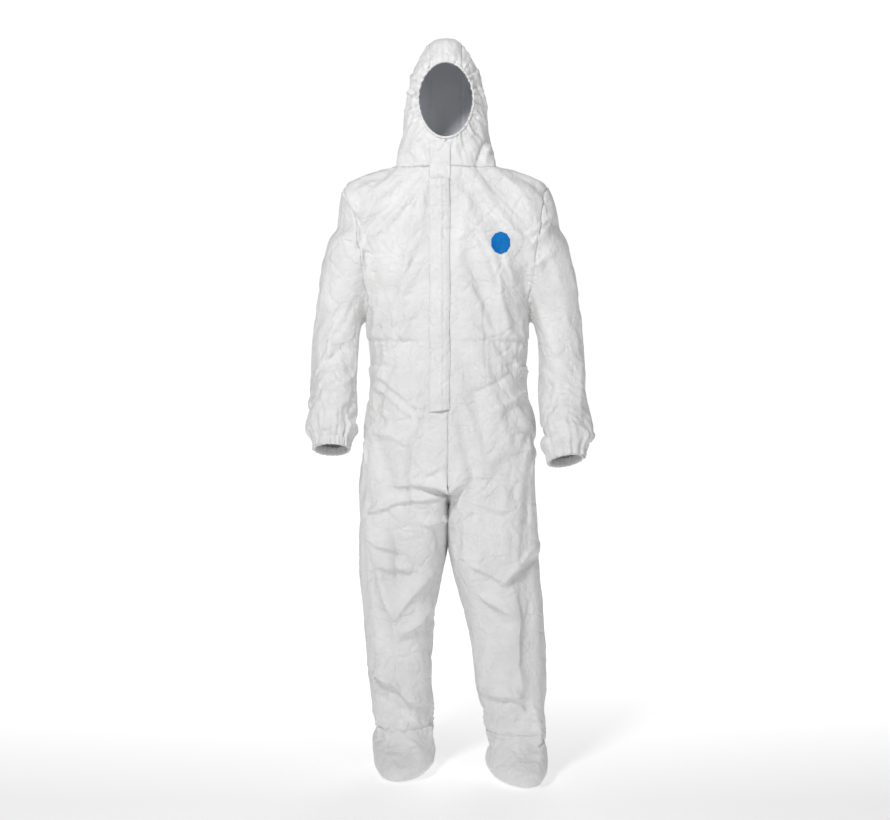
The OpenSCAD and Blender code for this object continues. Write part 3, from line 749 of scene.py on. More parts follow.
def cuff_gathers(p):
    h = np.zeros(len(p))
    for side, seed in (("left", 51), ("right", 52)):
        c, d = cuff_frame(side)
        rel = p - c
        along = rel @ d
        out = rel - along[:, None] * d
        a = np.arctan2(out[:, 1], out[:, 0])
        near = (np.linalg.norm(out, axis=1) < 0.1) & (along > -0.16) & (along < 0.05)
        fade = np.exp(-((-along - 0.012).clip(0) / 0.045) ** 1.2)
        wave = np.sin(17 * a + 1.6 * noise(p, 0.04, seed))
        wave += 0.6 * np.sin(27 * a + 2 * noise(p, 0.03, seed + 5))
        puff = np.exp(-((along + 0.042) / 0.018) ** 2)
        h += near * (0.0030 * wave * fade + 0.0035 * puff * (1 + 0.5 * np.sin(9 * a)))
    return h


def waist_gathers(p):
    x, z = p[:, 0] - body_x, p[:, 2] - waist_z
    body = (np.abs(x) < arm_limit(p[:, 2])) & (np.abs(z) < 0.14)
    a = np.arctan2(p[:, 1] - body_y, x)
    flat = smoothstep(0.03, 0.07, np.abs(p[:, 0] - zip_x) + (p[:, 1] > body_y))
    inside = 1 - smoothstep(0.8, 1.15, np.abs(z) / WAIST_HALF)
    near = np.exp(-((np.abs(z) - WAIST_HALF).clip(0) / 0.03) ** 1.5)
    wander = noise(p, 0.05, 61)
    wave = np.sin(74 * a + 3 * wander) + 0.7 * np.sin(47 * a + 4 * wander)
    rows = np.exp(-((np.abs(z) - WAIST_HALF) / 0.0035) ** 2)
    puff = np.exp(-((np.abs(z) - WAIST_HALF - 0.018) / 0.014) ** 2)
    height = 0.0004 * wave * near - 0.0025 * inside - 0.0024 * rows + 0.0018 * puff * (1 + wander)
    return body * flat * height


def ankle_gathers(p):
    z = p[:, 2] - ankle_z
    near = np.exp(-((z - 0.012) / 0.045) ** 2) * (p[:, 2] > 0.03)
    a = np.arctan2(p[:, 1] - side_y(p), p[:, 0] - np.where(p[:, 0] > body_x, 0.164, -0.12))
    t = z / 0.026 + 1.1 * noise(p, 0.06, 71) + 0.6 * np.sin(2 * a + 1)
    tri = 4 * np.abs(t - np.floor(t) - 0.5) - 1
    return 0.0022 * tri * near * (0.6 + 0.4 * noise(p, 0.08, 72))


def crumple(p):
    """Paper-like creases all over, by the region's own strength."""
    x, z = np.abs(p[:, 0] - body_x), p[:, 2]
    arm = (x > arm_limit(z)) & (z > 0.75)
    leg = z < 0.78
    hood = z > neck_z
    front_hood = hood & (p[:, 1] < body_y) & (z > 1.76)
    amount = np.select([arm, leg, front_hood, hood], [1.0, 1.0, 0.25, 0.45], 0.6)
    amount = amount * (1 + 0.5 * smoothstep(0.12, 0.2, x) * ~arm * ~hood)
    stretch = np.where(leg, 0.5, np.where(arm, 0.5, 0.7))
    q = p * np.column_stack([np.ones(len(p)), np.ones(len(p)), stretch])
    q = q + 0.012 * np.column_stack([noise(p, 0.06, 1), noise(p, 0.06, 2), noise(p, 0.06, 3)])
    f1, _ = cells(q, 0.045, 11)
    g1, g2 = cells(q, 0.021, 12)
    h = 0.0022 * pleats(q, 5, 0.11, 100) + 0.0008 * pleats(q, 6, 0.04, 200)
    h += 0.0011 * (f1 - 0.45) + 0.0005 * (0.4 - (g2 - g1)) * (0.5 + 0.5 * noise(q, 0.09, 13))
    h += 0.0022 * creases(q, 0.11, 300) - 0.0020 * creases(q, 0.09, 310) + 0.0012 * creases(q, 0.05, 320)
    return h * amount


def seam_distance(p, seam_points):
    tree = KDTree(len(seam_points))
    for i, s in enumerate(seam_points):
        tree.insert(s, i)
    tree.balance()
    return np.array([tree.find(v)[2] for v in p])


# ---------------------------------------------------------------- how the cloth settles on the figure

# Where the cloth stands off the plain form: x and z of the middle, reach in x and z, shift in x and z,
# and how far the front comes forward.
SETTLED = [
    (-0.240, 1.475, 0.060, 0.055, -0.016, 0.009, 0.0),
    (0.232, 1.490, 0.055, 0.045, 0.006, 0.007, 0.0),
    (0.352, 0.852, 0.045, 0.048, 0.024, 0.0, 0.0),
    (-0.352, 0.872, 0.030, 0.060, -0.005, 0.0, 0.0),
    (-0.228, 0.870, 0.030, 0.050, 0.005, 0.0, 0.0),
    (-0.055, 0.028, 0.040, 0.032, 0.014, 0.0, 0.0),
    (0.125, 0.020, 0.045, 0.035, -0.025, -0.002, 0.0),
    (0.200, 0.012, 0.040, 0.020, -0.016, 0.0, 0.0),
    (0.190, 0.880, 0.040, 0.070, 0.006, 0.0, 0.0),
    (-0.006, 0.750, 0.040, 0.030, 0.0, -0.020, 0.004),
    (-0.006, 0.690, 0.055, 0.055, 0.0, 0.0, 0.036),
    (-0.006, 0.722, 0.028, 0.036, 0.0, -0.006, 0.026),
]
# Half gap between the legs by height: z, wearer's right, wearer's left.
LEG_GAP = np.array([(0.20, 0.044, 0.070), (0.25, 0.041, 0.066), (0.31, 0.039, 0.058), (0.358, 0.037, 0.050),
                    (0.408, 0.031, 0.037), (0.457, 0.021, 0.023), (0.506, 0.011, 0.012),
                    (0.556, 0.001, 0.002), (0.59, -0.003, -0.003), (0.65, -0.009, -0.009),
                    (0.80, -0.010, -0.010)])
PEAK = 0.019
HOOD_FOOT = 0.121


def settled(p, place):
    """The draped cloth moved to where it hangs on the figure."""
    out = place.copy()
    front = smoothstep(0.03, -0.02, p[:, 1] - body_y)
    for x, z, wide, high, dx, dz, forward in SETTLED:
        w = np.exp(-((p[:, 0] - x) / wide) ** 2 - ((p[:, 2] - z) / high) ** 2)
        out[:, 0] += w * dx
        out[:, 2] += w * dz
        out[:, 1] -= w * forward * front
    across = np.exp(-((p[:, 0] - hood_x) / 0.075) ** 2)
    out[:, 2] += PEAK * smoothstep(1.785, 1.836, p[:, 2]) * across
    off = out[:, 0] - hood_x
    narrow = np.sign(off) * (HOOD_FOOT + 0.12 * (np.abs(off) - HOOD_FOOT)) - off
    foot = smoothstep(neck_z - 0.004, neck_z + 0.006, p[:, 2]) * (1 - smoothstep(1.56, 1.62, p[:, 2]))
    out[:, 0] += np.where(np.abs(off) > HOOD_FOOT, narrow, 0) * foot
    levels = np.arange(0.20, 0.70, 0.012)
    for s, column in ((-1, 1), (1, 2)):
        q = (place[:, 0] - body_x) * s
        inner = []
        for z in levels:
            near = (np.abs(place[:, 2] - z) < 0.010) & (q > -0.004) & (p[:, 2] < 0.765)
            inner.append(q[near].min() if near.any() else 0.0)
        inner = np.convolve(np.pad(inner, 2, mode="edge"), np.ones(5) / 5, mode="valid")
        edge = np.interp(place[:, 2], levels, inner)
        goal = np.interp(place[:, 2], LEG_GAP[:, 0], LEG_GAP[:, column])
        reach = 1 - smoothstep(0.0, 0.095, q - edge)
        part = (q > -0.004) * smoothstep(0.14, 0.24, p[:, 2]) * (1 - smoothstep(0.745, 0.775, p[:, 2]))
        out[:, 0] += s * (goal - edge) * reach * part
    out[:, 2] -= 0.0045 * smoothstep(0.02, 0.004, p[:, 2])
    return out


# ---------------------------------------------------------------- materials

def shader(name, color, rough, sheen=0.0):
    m = bpy.data.materials.new(name)
    m.use_nodes = True
    b = m.node_tree.nodes["Principled BSDF"]
    b.inputs["Base Color"].default_value = (*color, 1)
    b.inputs["Roughness"].default_value = rough
    b.inputs["Sheen Weight"].default_value = sheen
    return m, b


def node(m, kind, **values):
    """New shader node with the given values on its inputs."""
    n = m.node_tree.nodes.new("ShaderNode" + kind)
    for k, v in values.items():
        n.inputs[k.replace("_", " ")].default_value = v
    return n


def link(m, source, target):
    m.node_tree.links.new(source, target)


def cloth_place(m):
    """The cloth's own place, which stays with it when it moves."""
    n = node(m, "Attribute")
    n.attribute_name = "rest"
    return n.outputs["Vector"]


def texture(m, kind, scale, vector=None, **values):
    n = node(m, kind, Scale=scale, **values)
    link(m, cloth_place(m) if vector is None else vector, n.inputs["Vector"])
    return n


def tint(m, b, source, dark, light):
    """Colour varied between two tones by a texture."""
    ramp = node(m, "ValToRGB")
    for stop, place, tone in zip(ramp.color_ramp.elements, (0.35, 0.65), (dark, light)):
        stop.position = place
        stop.color = (*tone, 1)
    link(m, source, ramp.inputs["Fac"])
    link(m, ramp.outputs["Color"], b.inputs["Base Color"])


def bump(m, b, source, strength, distance):
    """Adds a layer of relief on top of what is already there."""
    n = node(m, "Bump", Strength=strength, Distance=distance)
    link(m, source, n.inputs["Height"])
    if b.inputs["Normal"].is_linked:
        link(m, b.inputs["Normal"].links[0].from_socket, n.inputs["Normal"])
    link(m, n.outputs["Normal"], b.inputs["Normal"])


def warped(m, scale, amount):
    """The rest place pushed about by noise."""
    place = cloth_place(m)
    n = texture(m, "TexNoise", scale, place, Detail=2)
    mix = node(m, "VectorMath")
    mix.operation = "MULTIPLY_ADD"
    mix.inputs[1].default_value = (amount, amount, amount)
    link(m, n.outputs["Color"], mix.inputs[0])
    link(m, place, mix.inputs[2])
    return mix.outputs["Vector"]


def nonwoven(name, dark, light, crease):
    """Flash-spun nonwoven: a fibrous swirl, fine emboss and crisp small creases."""
    m, b = shader(name, light, 0.62, 0.05)
    cloud = texture(m, "TexNoise", 9, Detail=6, Roughness=0.6)
    tint(m, b, cloud.outputs["Fac"], dark, light)
    for scale, warp, amount, strength, depth in ((17, 11, 0.09, 0.48, 0.0032), (50, 30, 0.03, 0.5, 0.0015)):
        net = texture(m, "TexVoronoi", scale, warped(m, warp, amount))
        net.feature = "DISTANCE_TO_EDGE"
        thin = node(m, "MapRange", From_Max=0.14)
        link(m, net.outputs["Distance"], thin.inputs["Value"])
        patches = texture(m, "TexNoise", scale * 0.6, Detail=3)
        fade = node(m, "MapRange", From_Min=0.53, From_Max=0.38)
        link(m, patches.outputs["Fac"], fade.inputs["Value"])
        worn = node(m, "Math")
        worn.operation = "MAXIMUM"
        link(m, thin.outputs["Result"], worn.inputs[0])
        link(m, fade.outputs["Result"], worn.inputs[1])
        bump(m, b, worn.outputs["Value"], strength * crease, depth)
    fibre = texture(m, "TexNoise", 420, Detail=5, Roughness=0.7, Distortion=1.8)
    bump(m, b, fibre.outputs["Fac"], 0.22, 0.0006)
    return m


fabric = nonwoven("suit_fabric", (0.70, 0.70, 0.695), (0.78, 0.78, 0.775), 1.0)
smooth_fabric = nonwoven("suit_fabric_flat", (0.70, 0.70, 0.695), (0.78, 0.78, 0.775), 0.45)
# The inner face is a slightly darker, bluish grey. This is painted shade for the inside of the hood and the cuffs,
# where the cloth is the same as outside.
inside_painted_shade = nonwoven("suit_inside_painted_shade", (0.66, 0.675, 0.71), (0.70, 0.715, 0.75), 0.1)
thread, b = shader("thread", (0.83, 0.83, 0.83), 0.45, 0.2)
tape, b = shader("zip_tape", (0.82, 0.82, 0.82), 0.7, 0.2)
weave = texture(tape, "TexWave", 900, Distortion=0.5)
bump(tape, b, weave.outputs["Fac"], 0.5, 0.0003)
plastic, b = shader("zip_plastic", (0.84, 0.84, 0.83), 0.34)
elastic, b = shader("elastic", (0.74, 0.74, 0.72), 0.75, 0.1)
ribs = texture(elastic, "TexWave", 700, Distortion=0.3)
bump(elastic, b, ribs.outputs["Fac"], 0.6, 0.0004)
badge_blue, b = shader("badge", (0.0, 0.155, 0.48), 0.5)
b.inputs["Specular IOR Level"].default_value = 0.15
speck = texture(badge_blue, "TexNoise", 160, Detail=4)
tint(badge_blue, b, speck.outputs["Fac"], (0.0, 0.14, 0.44), (0.002, 0.172, 0.53))
bump(badge_blue, b, speck.outputs["Fac"], 0.3, 0.0008)
satin, b = shader("label", (0.82, 0.82, 0.81), 0.3, 0.3)
glue, b = shader("adhesive", (0.72, 0.71, 0.66), 0.25)


# ---------------------------------------------------------------- the fabric's final shape

def folded(rest_place, place, normal):
    """The draped surface with gathers, listed folds and creases added along its normals."""
    strip = smoothstep(0.028, 0.042, np.abs(rest_place[:, 0] - flap_x)) + (rest_place[:, 1] > body_y)
    strip = np.clip(strip + (rest_place[:, 2] < flap_lo.z - 0.01) + (rest_place[:, 2] > 1.62), 0, 1)
    r, _ = face_polar(rest_place)
    rim = np.where(rest_place[:, 1] < body_y, smoothstep(1.0, 1.12, r), 1)
    h = (crumple(rest_place) + laid_folds(rest_place) + ankle_gathers(rest_place)) * rim
    h += waist_gathers(rest_place)
    h *= 0.15 + 0.85 * strip
    h += face_gathers(rest_place) + cuff_gathers(rest_place)
    floor_near = smoothstep(0.002, 0.02, rest_place[:, 2])
    return place + normal * (h * floor_near)[:, None]


def seam_vertices(me, labels):
    """Vertices on edges between two panels."""
    loops = read(me.loops, "edge_index", 1, int)
    own = np.repeat(labels, 4)
    low = np.full(len(me.edges), 99)
    high = np.full(len(me.edges), -1)
    np.minimum.at(low, loops, own)
    np.maximum.at(high, loops, own)
    return np.unique(edge_array(me)[low != high])


def piece(name, co, faces, rest_place, materials, offset=None, thick=0.0004):
    """A sheet made of some of the suit's faces, with an inner face in the second material."""
    used, index = np.unique(faces, return_inverse=True)
    where = co[used] if offset is None else co[used] + offset[used]
    ob = mesh_object(name, where, index.reshape(faces.shape).tolist())
    add_attribute(ob.data, "rest", rest_place[used])
    smooth(ob)
    for m in materials:
        ob.data.materials.append(m)
    s = thickened(ob, thick, -1)
    s.material_offset = s.material_offset_rim = len(materials) - 1
    return ob


# ---------------------------------------------------------------- stitches

def trace(values, level, region, key):
    """The line where values reach level on the suit, as points and normals in order of key."""
    a, b = suit_edges[:, 0], suit_edges[:, 1]
    hit = ((values[a] - level) * (values[b] - level) < 0) & region[a] & region[b]
    a, b = a[hit], b[hit]
    t = ((level - values[a]) / (values[b] - values[a]))[:, None]
    p = suit_co[a] + (suit_co[b] - suit_co[a]) * t
    n = suit_no[a] + (suit_no[b] - suit_no[a]) * t
    k = key[a] + (key[b] - key[a]) * t[:, 0]
    order = np.argsort(k)
    return even(p[order], 0.002, n[order])


def even(p, step, n):
    """A line of points resampled evenly, lightly smoothed."""
    for _ in range(3):
        p[1:-1] = (p[:-2] + 2 * p[1:-1] + p[2:]) / 4
    s = np.concatenate([[0], np.cumsum(np.linalg.norm(np.diff(p, axis=0), axis=1))])
    t = np.arange(0, s[-1], step)
    p = np.column_stack([np.interp(t, s, p[:, k]) for k in range(3)])
    n = np.column_stack([np.interp(t, s, n[:, k]) for k in range(3)])
    return p, n / np.linalg.norm(n, axis=1)[:, None].clip(1e-9)


STITCH_LONG = 0.0030
STITCH_PITCH = 0.0044
THREAD_R = 0.00042


def stitches(name, lines, body):
    """Short thread stitches along lines of points with normals, riding one body."""
    verts, faces = [], []
    for p, n in lines:
        step = max(1, int(round(STITCH_PITCH / 0.002)))
        for i in range(0, len(p) - 2, step):
            along = p[i + 1] - p[i]
            size = np.linalg.norm(along)
            if size < 1e-6:
                continue
            along = along / size
            out = n[i] - along * (n[i] @ along)
            out /= max(np.linalg.norm(out), 1e-9)
            across = np.cross(along, out)
            mid = p[i] + out * THREAD_R * 0.7
            k = len(verts)
            for end in (-0.5, 0.5):
                c = mid + along * STITCH_LONG * end
                verts += [c - out * THREAD_R]
                for turn in (0, 1, 2, 3):
                    a = turn * math.pi / 2 + math.pi / 4
                    inner = mid + along * STITCH_LONG * end * 0.62
                    verts += [inner + THREAD_R * (math.cos(a) * across + math.sin(a) * out)]
            for turn in range(4):
                nxt = (turn + 1) % 4
                faces += [(k, k + 1 + turn, k + 1 + nxt), (k + 5, k + 6 + nxt, k + 6 + turn),
                          (k + 1 + turn, k + 6 + turn, k + 6 + nxt, k + 1 + nxt)]
    ob = mesh_object(name, verts, faces)
    ob.data.materials.append(thread)
    smooth(ob)
    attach(ob, body)


# ---------------------------------------------------------------- build the suit's fabric

set_coords(base.data, rest)
rest_cut = cut_seams(base.data, now)
add_attribute(base.data, "rest", rest_cut)
draped_now = coords(base.data)
set_coords(base.data, rest_cut)
labels = panel_of(read(base.data.polygons, "center", 3))
set_coords(base.data, draped_now)
mark = base.data.attributes.new("panel", "INT", "FACE")
mark.data.foreach_set("value", labels.astype(np.int32))
sub = base.modifiers.new("sub", "SUBSURF")
sub.levels = sub.render_levels = 1
applied(base)
labels = read(base.data.attributes["panel"].data, "value", 1, np.int32)
suit_rest = read(base.data.attributes["rest"].data, "vector", 3, np.float32).astype(float)
flap_lo, flap_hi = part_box("storm_flap")
flap_x = (flap_lo.x + flap_hi.x) / 2
set_coords(base.data, settled(suit_rest, coords(base.data)))
suit_co = folded(suit_rest, coords(base.data), normals(base.data))
from_seam = seam_distance(suit_rest, suit_rest[seam_vertices(base.data, labels)])
dip = 0.0024 * np.exp(-(from_seam / 0.003) ** 2)
pucker = 0.0012 * np.exp(-(from_seam / 0.011) ** 2) * noise(suit_rest, 0.011, 81)
suit_co = suit_co - normals(base.data) * (dip + pucker)[:, None]
set_coords(base.data, suit_co)
suit_no = normals(base.data)
suit_edges = edge_array(base.data)
suit_quads = read(base.data.loops, "vertex_index", 1, int).reshape(-1, 4)
suit_loop_edges = read(base.data.loops, "edge_index", 1, int)

PANELS = {}
for i, name in enumerate(LABELS[1:], 1):
    PANELS[name] = piece(name + "_cloth", suit_co, suit_quads[labels == i], suit_rest, [fabric, inside_painted_shade])

# Each panel stays in place and stands in for the CAD pieces under it, which are hidden; the socks ride the legs
for side, s in (("left", 1), ("right", -1)):
    for part in ("front", "back"):
        ob = PANELS[part + "_" + side]
        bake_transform(ob)
        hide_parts(part + "_" + side + "_panel", side + "_leg_" + part)
    ob = PANELS[side + "_sleeve"]
    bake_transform(ob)
    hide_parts(side + "_sleeve", side + "_sleeve_head")
    ob = PANELS["hood_" + side]
    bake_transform(ob)
    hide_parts("hood_" + side + "_panel")
    ob = PANELS[side + "_sock"]
    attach(ob, side + "_leg")
    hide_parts(side + "_sock_upper", side + "_sock_sole")
ob = PANELS["hood_crown"]
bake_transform(ob)
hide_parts("hood_centre_panel")
bpy.data.objects.remove(base)

# ---------------------------------------------------------------- inner bands, hems and cuffs

tree = BVHTree.FromPolygons(suit_co.tolist(), suit_quads.tolist())


def front_y(x, z):
    """Depth of the fabric's outside seen from the front at x, z."""
    hit = tree.ray_cast(Vector((x, -1, z)), Vector((0, 1, 0)))[0]
    return hit.y if hit else body_y - 0.1


def inner_band(name, keep, depth, material, node):
    """A patch lying inside the suit's fabric, depth metres in from it."""
    centre = suit_rest[suit_quads].mean(1)
    faces = suit_quads[keep(centre, panel_of(centre))]
    ob = piece(name, suit_co, faces, suit_rest, [material], -suit_no * depth, 0.0008)
    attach(ob, "torso")
    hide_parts(node)
    return ob


def on_torso(part):
    return (part >= 1) & (part <= 4)


def body_only(c, part):
    """The torso's panels clear of the zip."""
    return on_torso(part) & ((np.abs(c[:, 0] - zip_x) > 0.024) | (c[:, 1] > body_y))


inner_band("waist_band", lambda c, part: body_only(c, part) & (np.abs(c[:, 2] - waist_z) < WAIST_HALF),
           0.0030, smooth_fabric, "waist_tunnel")
inner_band("waist_elastic_band", lambda c, part: body_only(c, part) & (np.abs(c[:, 2] - waist_z) < 0.013),
           0.0018, elastic, "waist_elastic")
inner_band("neck_tape", lambda c, part: body_only(c, part) & (neck_z - c[:, 2] < 0.014)
           & (neck_z > c[:, 2]), 0.0022, smooth_fabric, "neck_binding")
inner_band("gusset_patch", lambda c, part: on_torso(part) & (c[:, 2] > 0.748) & (c[:, 2] < 0.84)
           & (np.abs(c[:, 0] - body_x) < 0.032), 0.0022, smooth_fabric, "crotch_gusset")


def skinned(name, verts, faces, material):
    """Smooth object of one material that knows its own rest place."""
    ob = mesh_object(name, verts, faces)
    add_attribute(ob.data, "rest", np.array(verts))
    smooth(ob)
    ob.data.materials.append(material)
    return ob


def swept_ring(name, spine, section, material, wave):
    """Closed tube round a closed spine. spine: points, out and up unit vectors; section: closed loop of
    (out, up) offsets; wave: the tube's swelling at each spine point."""
    p, out, up = spine
    n, m = len(p), len(section)
    verts = []
    for i in range(n):
        for a, b in section:
            verts.append(p[i] + (out[i] * a + up[i] * b) * wave[i])
    return skinned(name, verts, grid_faces(n, m, around=True, closed=True), material)


def rim_line(keep, angle, count):
    """The suit's open edge resampled at even angles round it."""
    use = np.bincount(suit_loop_edges, minlength=len(suit_edges))
    ids = np.unique(suit_edges[use == 1])
    ids = ids[keep(suit_rest[ids])]
    a = angle(suit_rest[ids])
    order = np.argsort(a)
    a, p = a[order], suit_co[ids[order]]
    a3 = np.concatenate([a - 2 * math.pi, a, a + 2 * math.pi])
    p3 = np.vstack([p, p, p])
    at = np.linspace(-math.pi, math.pi, count, endpoint=False)
    return at, np.column_stack([np.interp(at, a3, p3[:, k]) for k in range(3)])


def smooth_loop(p, rounds):
    for _ in range(rounds):
        p = (np.roll(p, 1, 0) + 2 * p + np.roll(p, -1, 0)) / 4
    return p


def face_hem():
    """Folded hem over the elastic of the face opening, puckered by it."""
    at, p = rim_line(lambda q: (q[:, 2] > 1.55) & (q[:, 1] < body_y), lambda q: face_polar(q)[1], 360)
    p = smooth_loop(p, 6)
    out = np.column_stack([np.cos(at) / face_w, np.zeros(len(at)), np.sin(at) / face_h])
    out /= np.linalg.norm(out, axis=1)[:, None]
    back = np.tile([0, 1.0, 0], (len(at), 1))
    sides = 0.3 + 0.7 * np.cos(at) ** 2
    wander = np.array([math.sin(5 * a) + 0.7 * math.sin(11 * a + 1) for a in at])
    wave = 1 + 0.14 * sides * (np.sin(61 * at + wander) + 0.5 * np.sin(97 * at + 2 * wander))
    turn = np.linspace(0, 2 * math.pi, 12, endpoint=False)
    section = [(0.0034 * math.cos(t), 0.0046 * math.sin(t)) for t in turn]
    ob = swept_ring("face_opening_hem", (p, out, back), section, fabric, wave)
    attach(ob, "hood")
    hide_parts("face_hem")
    cord = swept_ring("face_opening_elastic", (p + back * 0.0072, out, back),
                      [(0.0016 * math.cos(t), 0.0022 * math.sin(t)) for t in turn], elastic, wave)
    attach(cord, "hood")
    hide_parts("face_elastic")


def cuff(side):
    """Gathered hem and elastic at the end of a sleeve."""
    c, d = cuff_frame(side)
    u = np.cross(d, [0, 1, 0])
    u /= np.linalg.norm(u)
    v = np.cross(d, u)
    at = np.linspace(-math.pi, math.pi, 220, endpoint=False)
    out = np.cos(at)[:, None] * u + np.sin(at)[:, None] * v
    down = np.tile(d, (len(at), 1))
    wander = np.sin(4 * at) + 0.6 * np.sin(9 * at + 1)
    wave = 1 + 0.018 * np.sin(19 * at + wander) + 0.012 * np.sin(31 * at + 2 * wander)
    profile = [(0.0438, -0.013), (0.0462, -0.010), (0.0452, -0.005), (0.0464, -0.001), (0.0452, 0.003),
               (0.0462, 0.007), (0.0450, 0.0115), (0.0430, 0.0125), (0.0414, 0.0105), (0.0416, 0.003),
               (0.0412, -0.004), (0.0418, -0.011)]
    loop = np.array([[r * wave, np.full(len(at), b)] for r, b in profile])
    verts = []
    for i in range(len(at)):
        for j in range(len(profile)):
            verts.append(c + out[i] * loop[j, 0, i] + d * (loop[j, 1, i] + 0.0006 * math.sin(23 * at[i] + j)))
    m, n = len(profile), len(at)
    faces = [f[:1] + f[:0:-1] for f in grid_faces(n, m, around=True, closed=True)]
    ob = skinned(side + "_cuff_band", verts, faces, fabric)
    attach(ob, side + "_arm")
    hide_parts(side + "_cuff_hem")
    band = swept_ring(side + "_cuff_rubber", (np.tile(c, (n, 1)), out, down),
                      [(0.0424, -0.008), (0.0432, -0.008), (0.0432, 0.008), (0.0424, 0.008)],
                      elastic, wave)
    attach(band, side + "_arm")
    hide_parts(side + "_cuff_elastic")


# ---------------------------------------------------------------- storm flap, chin flap, badge, label

def strip_sheet(name, columns, rows, place, material, thick):
    """Sheet from a grid of points place(u, v), and that grid."""
    grid = np.array([[place(u, v) for u in np.linspace(0, 1, columns)] for v in np.linspace(0, 1, rows)])
    ob = skinned(name, grid.reshape(-1, 3), grid_faces(rows, columns), material)
    thickened(ob, thick, 0)
    return ob, grid


def lifted(x, z):
    """Height of the flap's middle above the fabric: highest over the zip, low at the free edge."""
    over_zip = 0.0052 * math.exp(-((x - zip_x) / 0.014) ** 2)
    head = 0.0016 * (1 if z > 1.43 else 0)
    return 0.0022 + over_zip + head


def strip_depth(x, z):
    """Depth of the fabric's outside averaged over a small patch."""
    spread = [(0, 0), (0.012, 0), (-0.012, 0), (0, 0.02), (0, -0.02)]
    return sum(front_y(x + a, min(z + b, 1.6)) for a, b in spread) / len(spread)


hinge_x, free_x = flap_hi.x - 0.0005, flap_lo.x
flap_top_z, flap_low_z = flap_hi.z + 0.009, flap_lo.z


def flap_place(u, v):
    x = hinge_x + (free_x - hinge_x) * u
    low = flap_low_z + 0.008 * (1 - u)
    z = low + (flap_top_z - low) * v
    ripple = 0.0008 * math.sin(z * 61 + 3 * u) * math.sin(z * 23 + 1) + 0.0005 * math.sin(z * 140 + 9 * u)
    curl = 0.0016 * smoothstep(0.12, 0.0, u) + 0.0012 * smoothstep(0.85, 1.0, u)
    return Vector((x + 0.0008 * math.sin(z * 37), strip_depth(x, z) - lifted(x, z) + curl - ripple * u, z))


def edge_lines(grid, us):
    """Rows of stitching along a strip at the given fractions of its width, short of its ends."""
    out = []
    rows, columns = grid.shape[:2]
    a, b = int(0.02 * rows), int(0.98 * rows)
    for u in us:
        k = u * (columns - 1)
        i = min(int(k), columns - 2)
        p = grid[a:b, i] + (grid[a:b, i + 1] - grid[a:b, i]) * (k - i)
        n = np.tile([0, -1.0, 0], (len(p), 1))
        p = p + n * 0.0007
        out.append(even(p, 0.002, n))
    return out


def closure():
    flap, grid = strip_sheet("storm_flap_cloth", 22, 240, flap_place, fabric, 0.0011)
    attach(flap, "flap")
    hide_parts("storm_flap", "flap_piping")
    stitches("flap_stitches", edge_lines(grid, (0.1, 0.95)), "flap")
    lo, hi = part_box("flap_adhesive")

    def glue_place(u, v):
        x = lo.x + (hi.x - lo.x) * u
        z = lo.z + (hi.z - lo.z) * v
        across = (x - hinge_x) / (free_x - hinge_x)
        low = flap_low_z + 0.008 * (1 - across)
        on_flap = flap_place(across, (z - low) / (flap_top_z - low))
        return Vector((x, on_flap.y + 0.0009, z))
    strip, _ = strip_sheet("flap_tape", 5, 120, glue_place, glue, 0.0002)
    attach(strip, "flap")
    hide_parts("flap_adhesive")

    chin_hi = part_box("chin_flap")[1]

    def chin_place(u, v):
        x = hinge_x + 0.0005 + (free_x - hinge_x) * u
        z = 1.4925 + (chin_hi.z - 1.4925) * v - 0.004 * (2 * u - 1) ** 2 * v
        under = 0.0018 * smoothstep(1.512, 1.496, z)
        level = min(z, chin_hi.z - 0.002)
        y = sum(front_y(x + a, level + c) for a in (-0.008, 0, 0.008) for c in (-0.006, 0)) / 6
        return Vector((x, y - 0.0024 + under - 0.0006 * math.sin(z * 90 + 4 * u), z))
    chin, _ = strip_sheet("chin_flap_cloth", 18, 44, chin_place, fabric, 0.001)
    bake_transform(chin)
    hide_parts("chin_flap")


def badge():
    """Plain ten-sided patch following the chest."""
    lo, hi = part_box("chest_badge")
    c = (lo + hi) / 2
    wide, high = (hi.x - lo.x) * 0.52, (hi.z - lo.z) * 0.52
    verts, rings, sides = [], 9, 60
    around = [(0, 0), (0.004, 0), (-0.004, 0), (0, 0.004), (0, -0.004)]

    def corner(a):
        step = math.pi / 5
        k = (a + step / 2) % step - step / 2
        return math.cos(step / 2) / math.cos(k)
    for i in range(rings + 1):
        for j in range(sides):
            a = j * 2 * math.pi / sides
            r = (i + 0.15) / (rings + 0.15) * corner(a)
            x, z = c.x + wide * r * math.cos(a), c.z + high * r * math.sin(a)
            y = sum(front_y(x + e, z + f) for e, f in around) / len(around)
            verts.append((x, y - 0.0011, z))
    faces = grid_faces(rings + 1, sides, around=True)
    faces.append(tuple(range(sides))[::-1])
    ob = skinned("blue_patch", verts, faces, badge_blue)
    thickened(ob, 0.0006, 1)
    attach(ob, "torso")
    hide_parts("chest_badge")


def label():
    lo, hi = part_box("neck_label")

    def place(u, v):
        x, z = lo.x + (hi.x - lo.x) * u, lo.z + (hi.z - lo.z) * v
        hit = tree.ray_cast(Vector((x, body_y, z)), Vector((0, 1, 0)))[0]
        y = hit.y if hit else hi.y
        return Vector((x, y - 0.0016 - 0.003 * (1 - v) ** 2, z))
    ob, _ = strip_sheet("neck_tag", 12, 10, place, satin, 0.0003)
    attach(ob, "torso")
    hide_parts("neck_label")


# ---------------------------------------------------------------- zip

up = -np.array(joints["zip_slide"]["axis"], float)
up /= np.linalg.norm(up)
out_dir = np.array([0, -up[2], up[1]])


def end_places(name):
    """Middles of a long CAD piece's lower and upper end faces."""
    co = coords(nodes[name].data)
    t = co @ up
    return co[t < t.min() + 1e-4].mean(0), co[t > t.max() - 1e-4].mean(0)


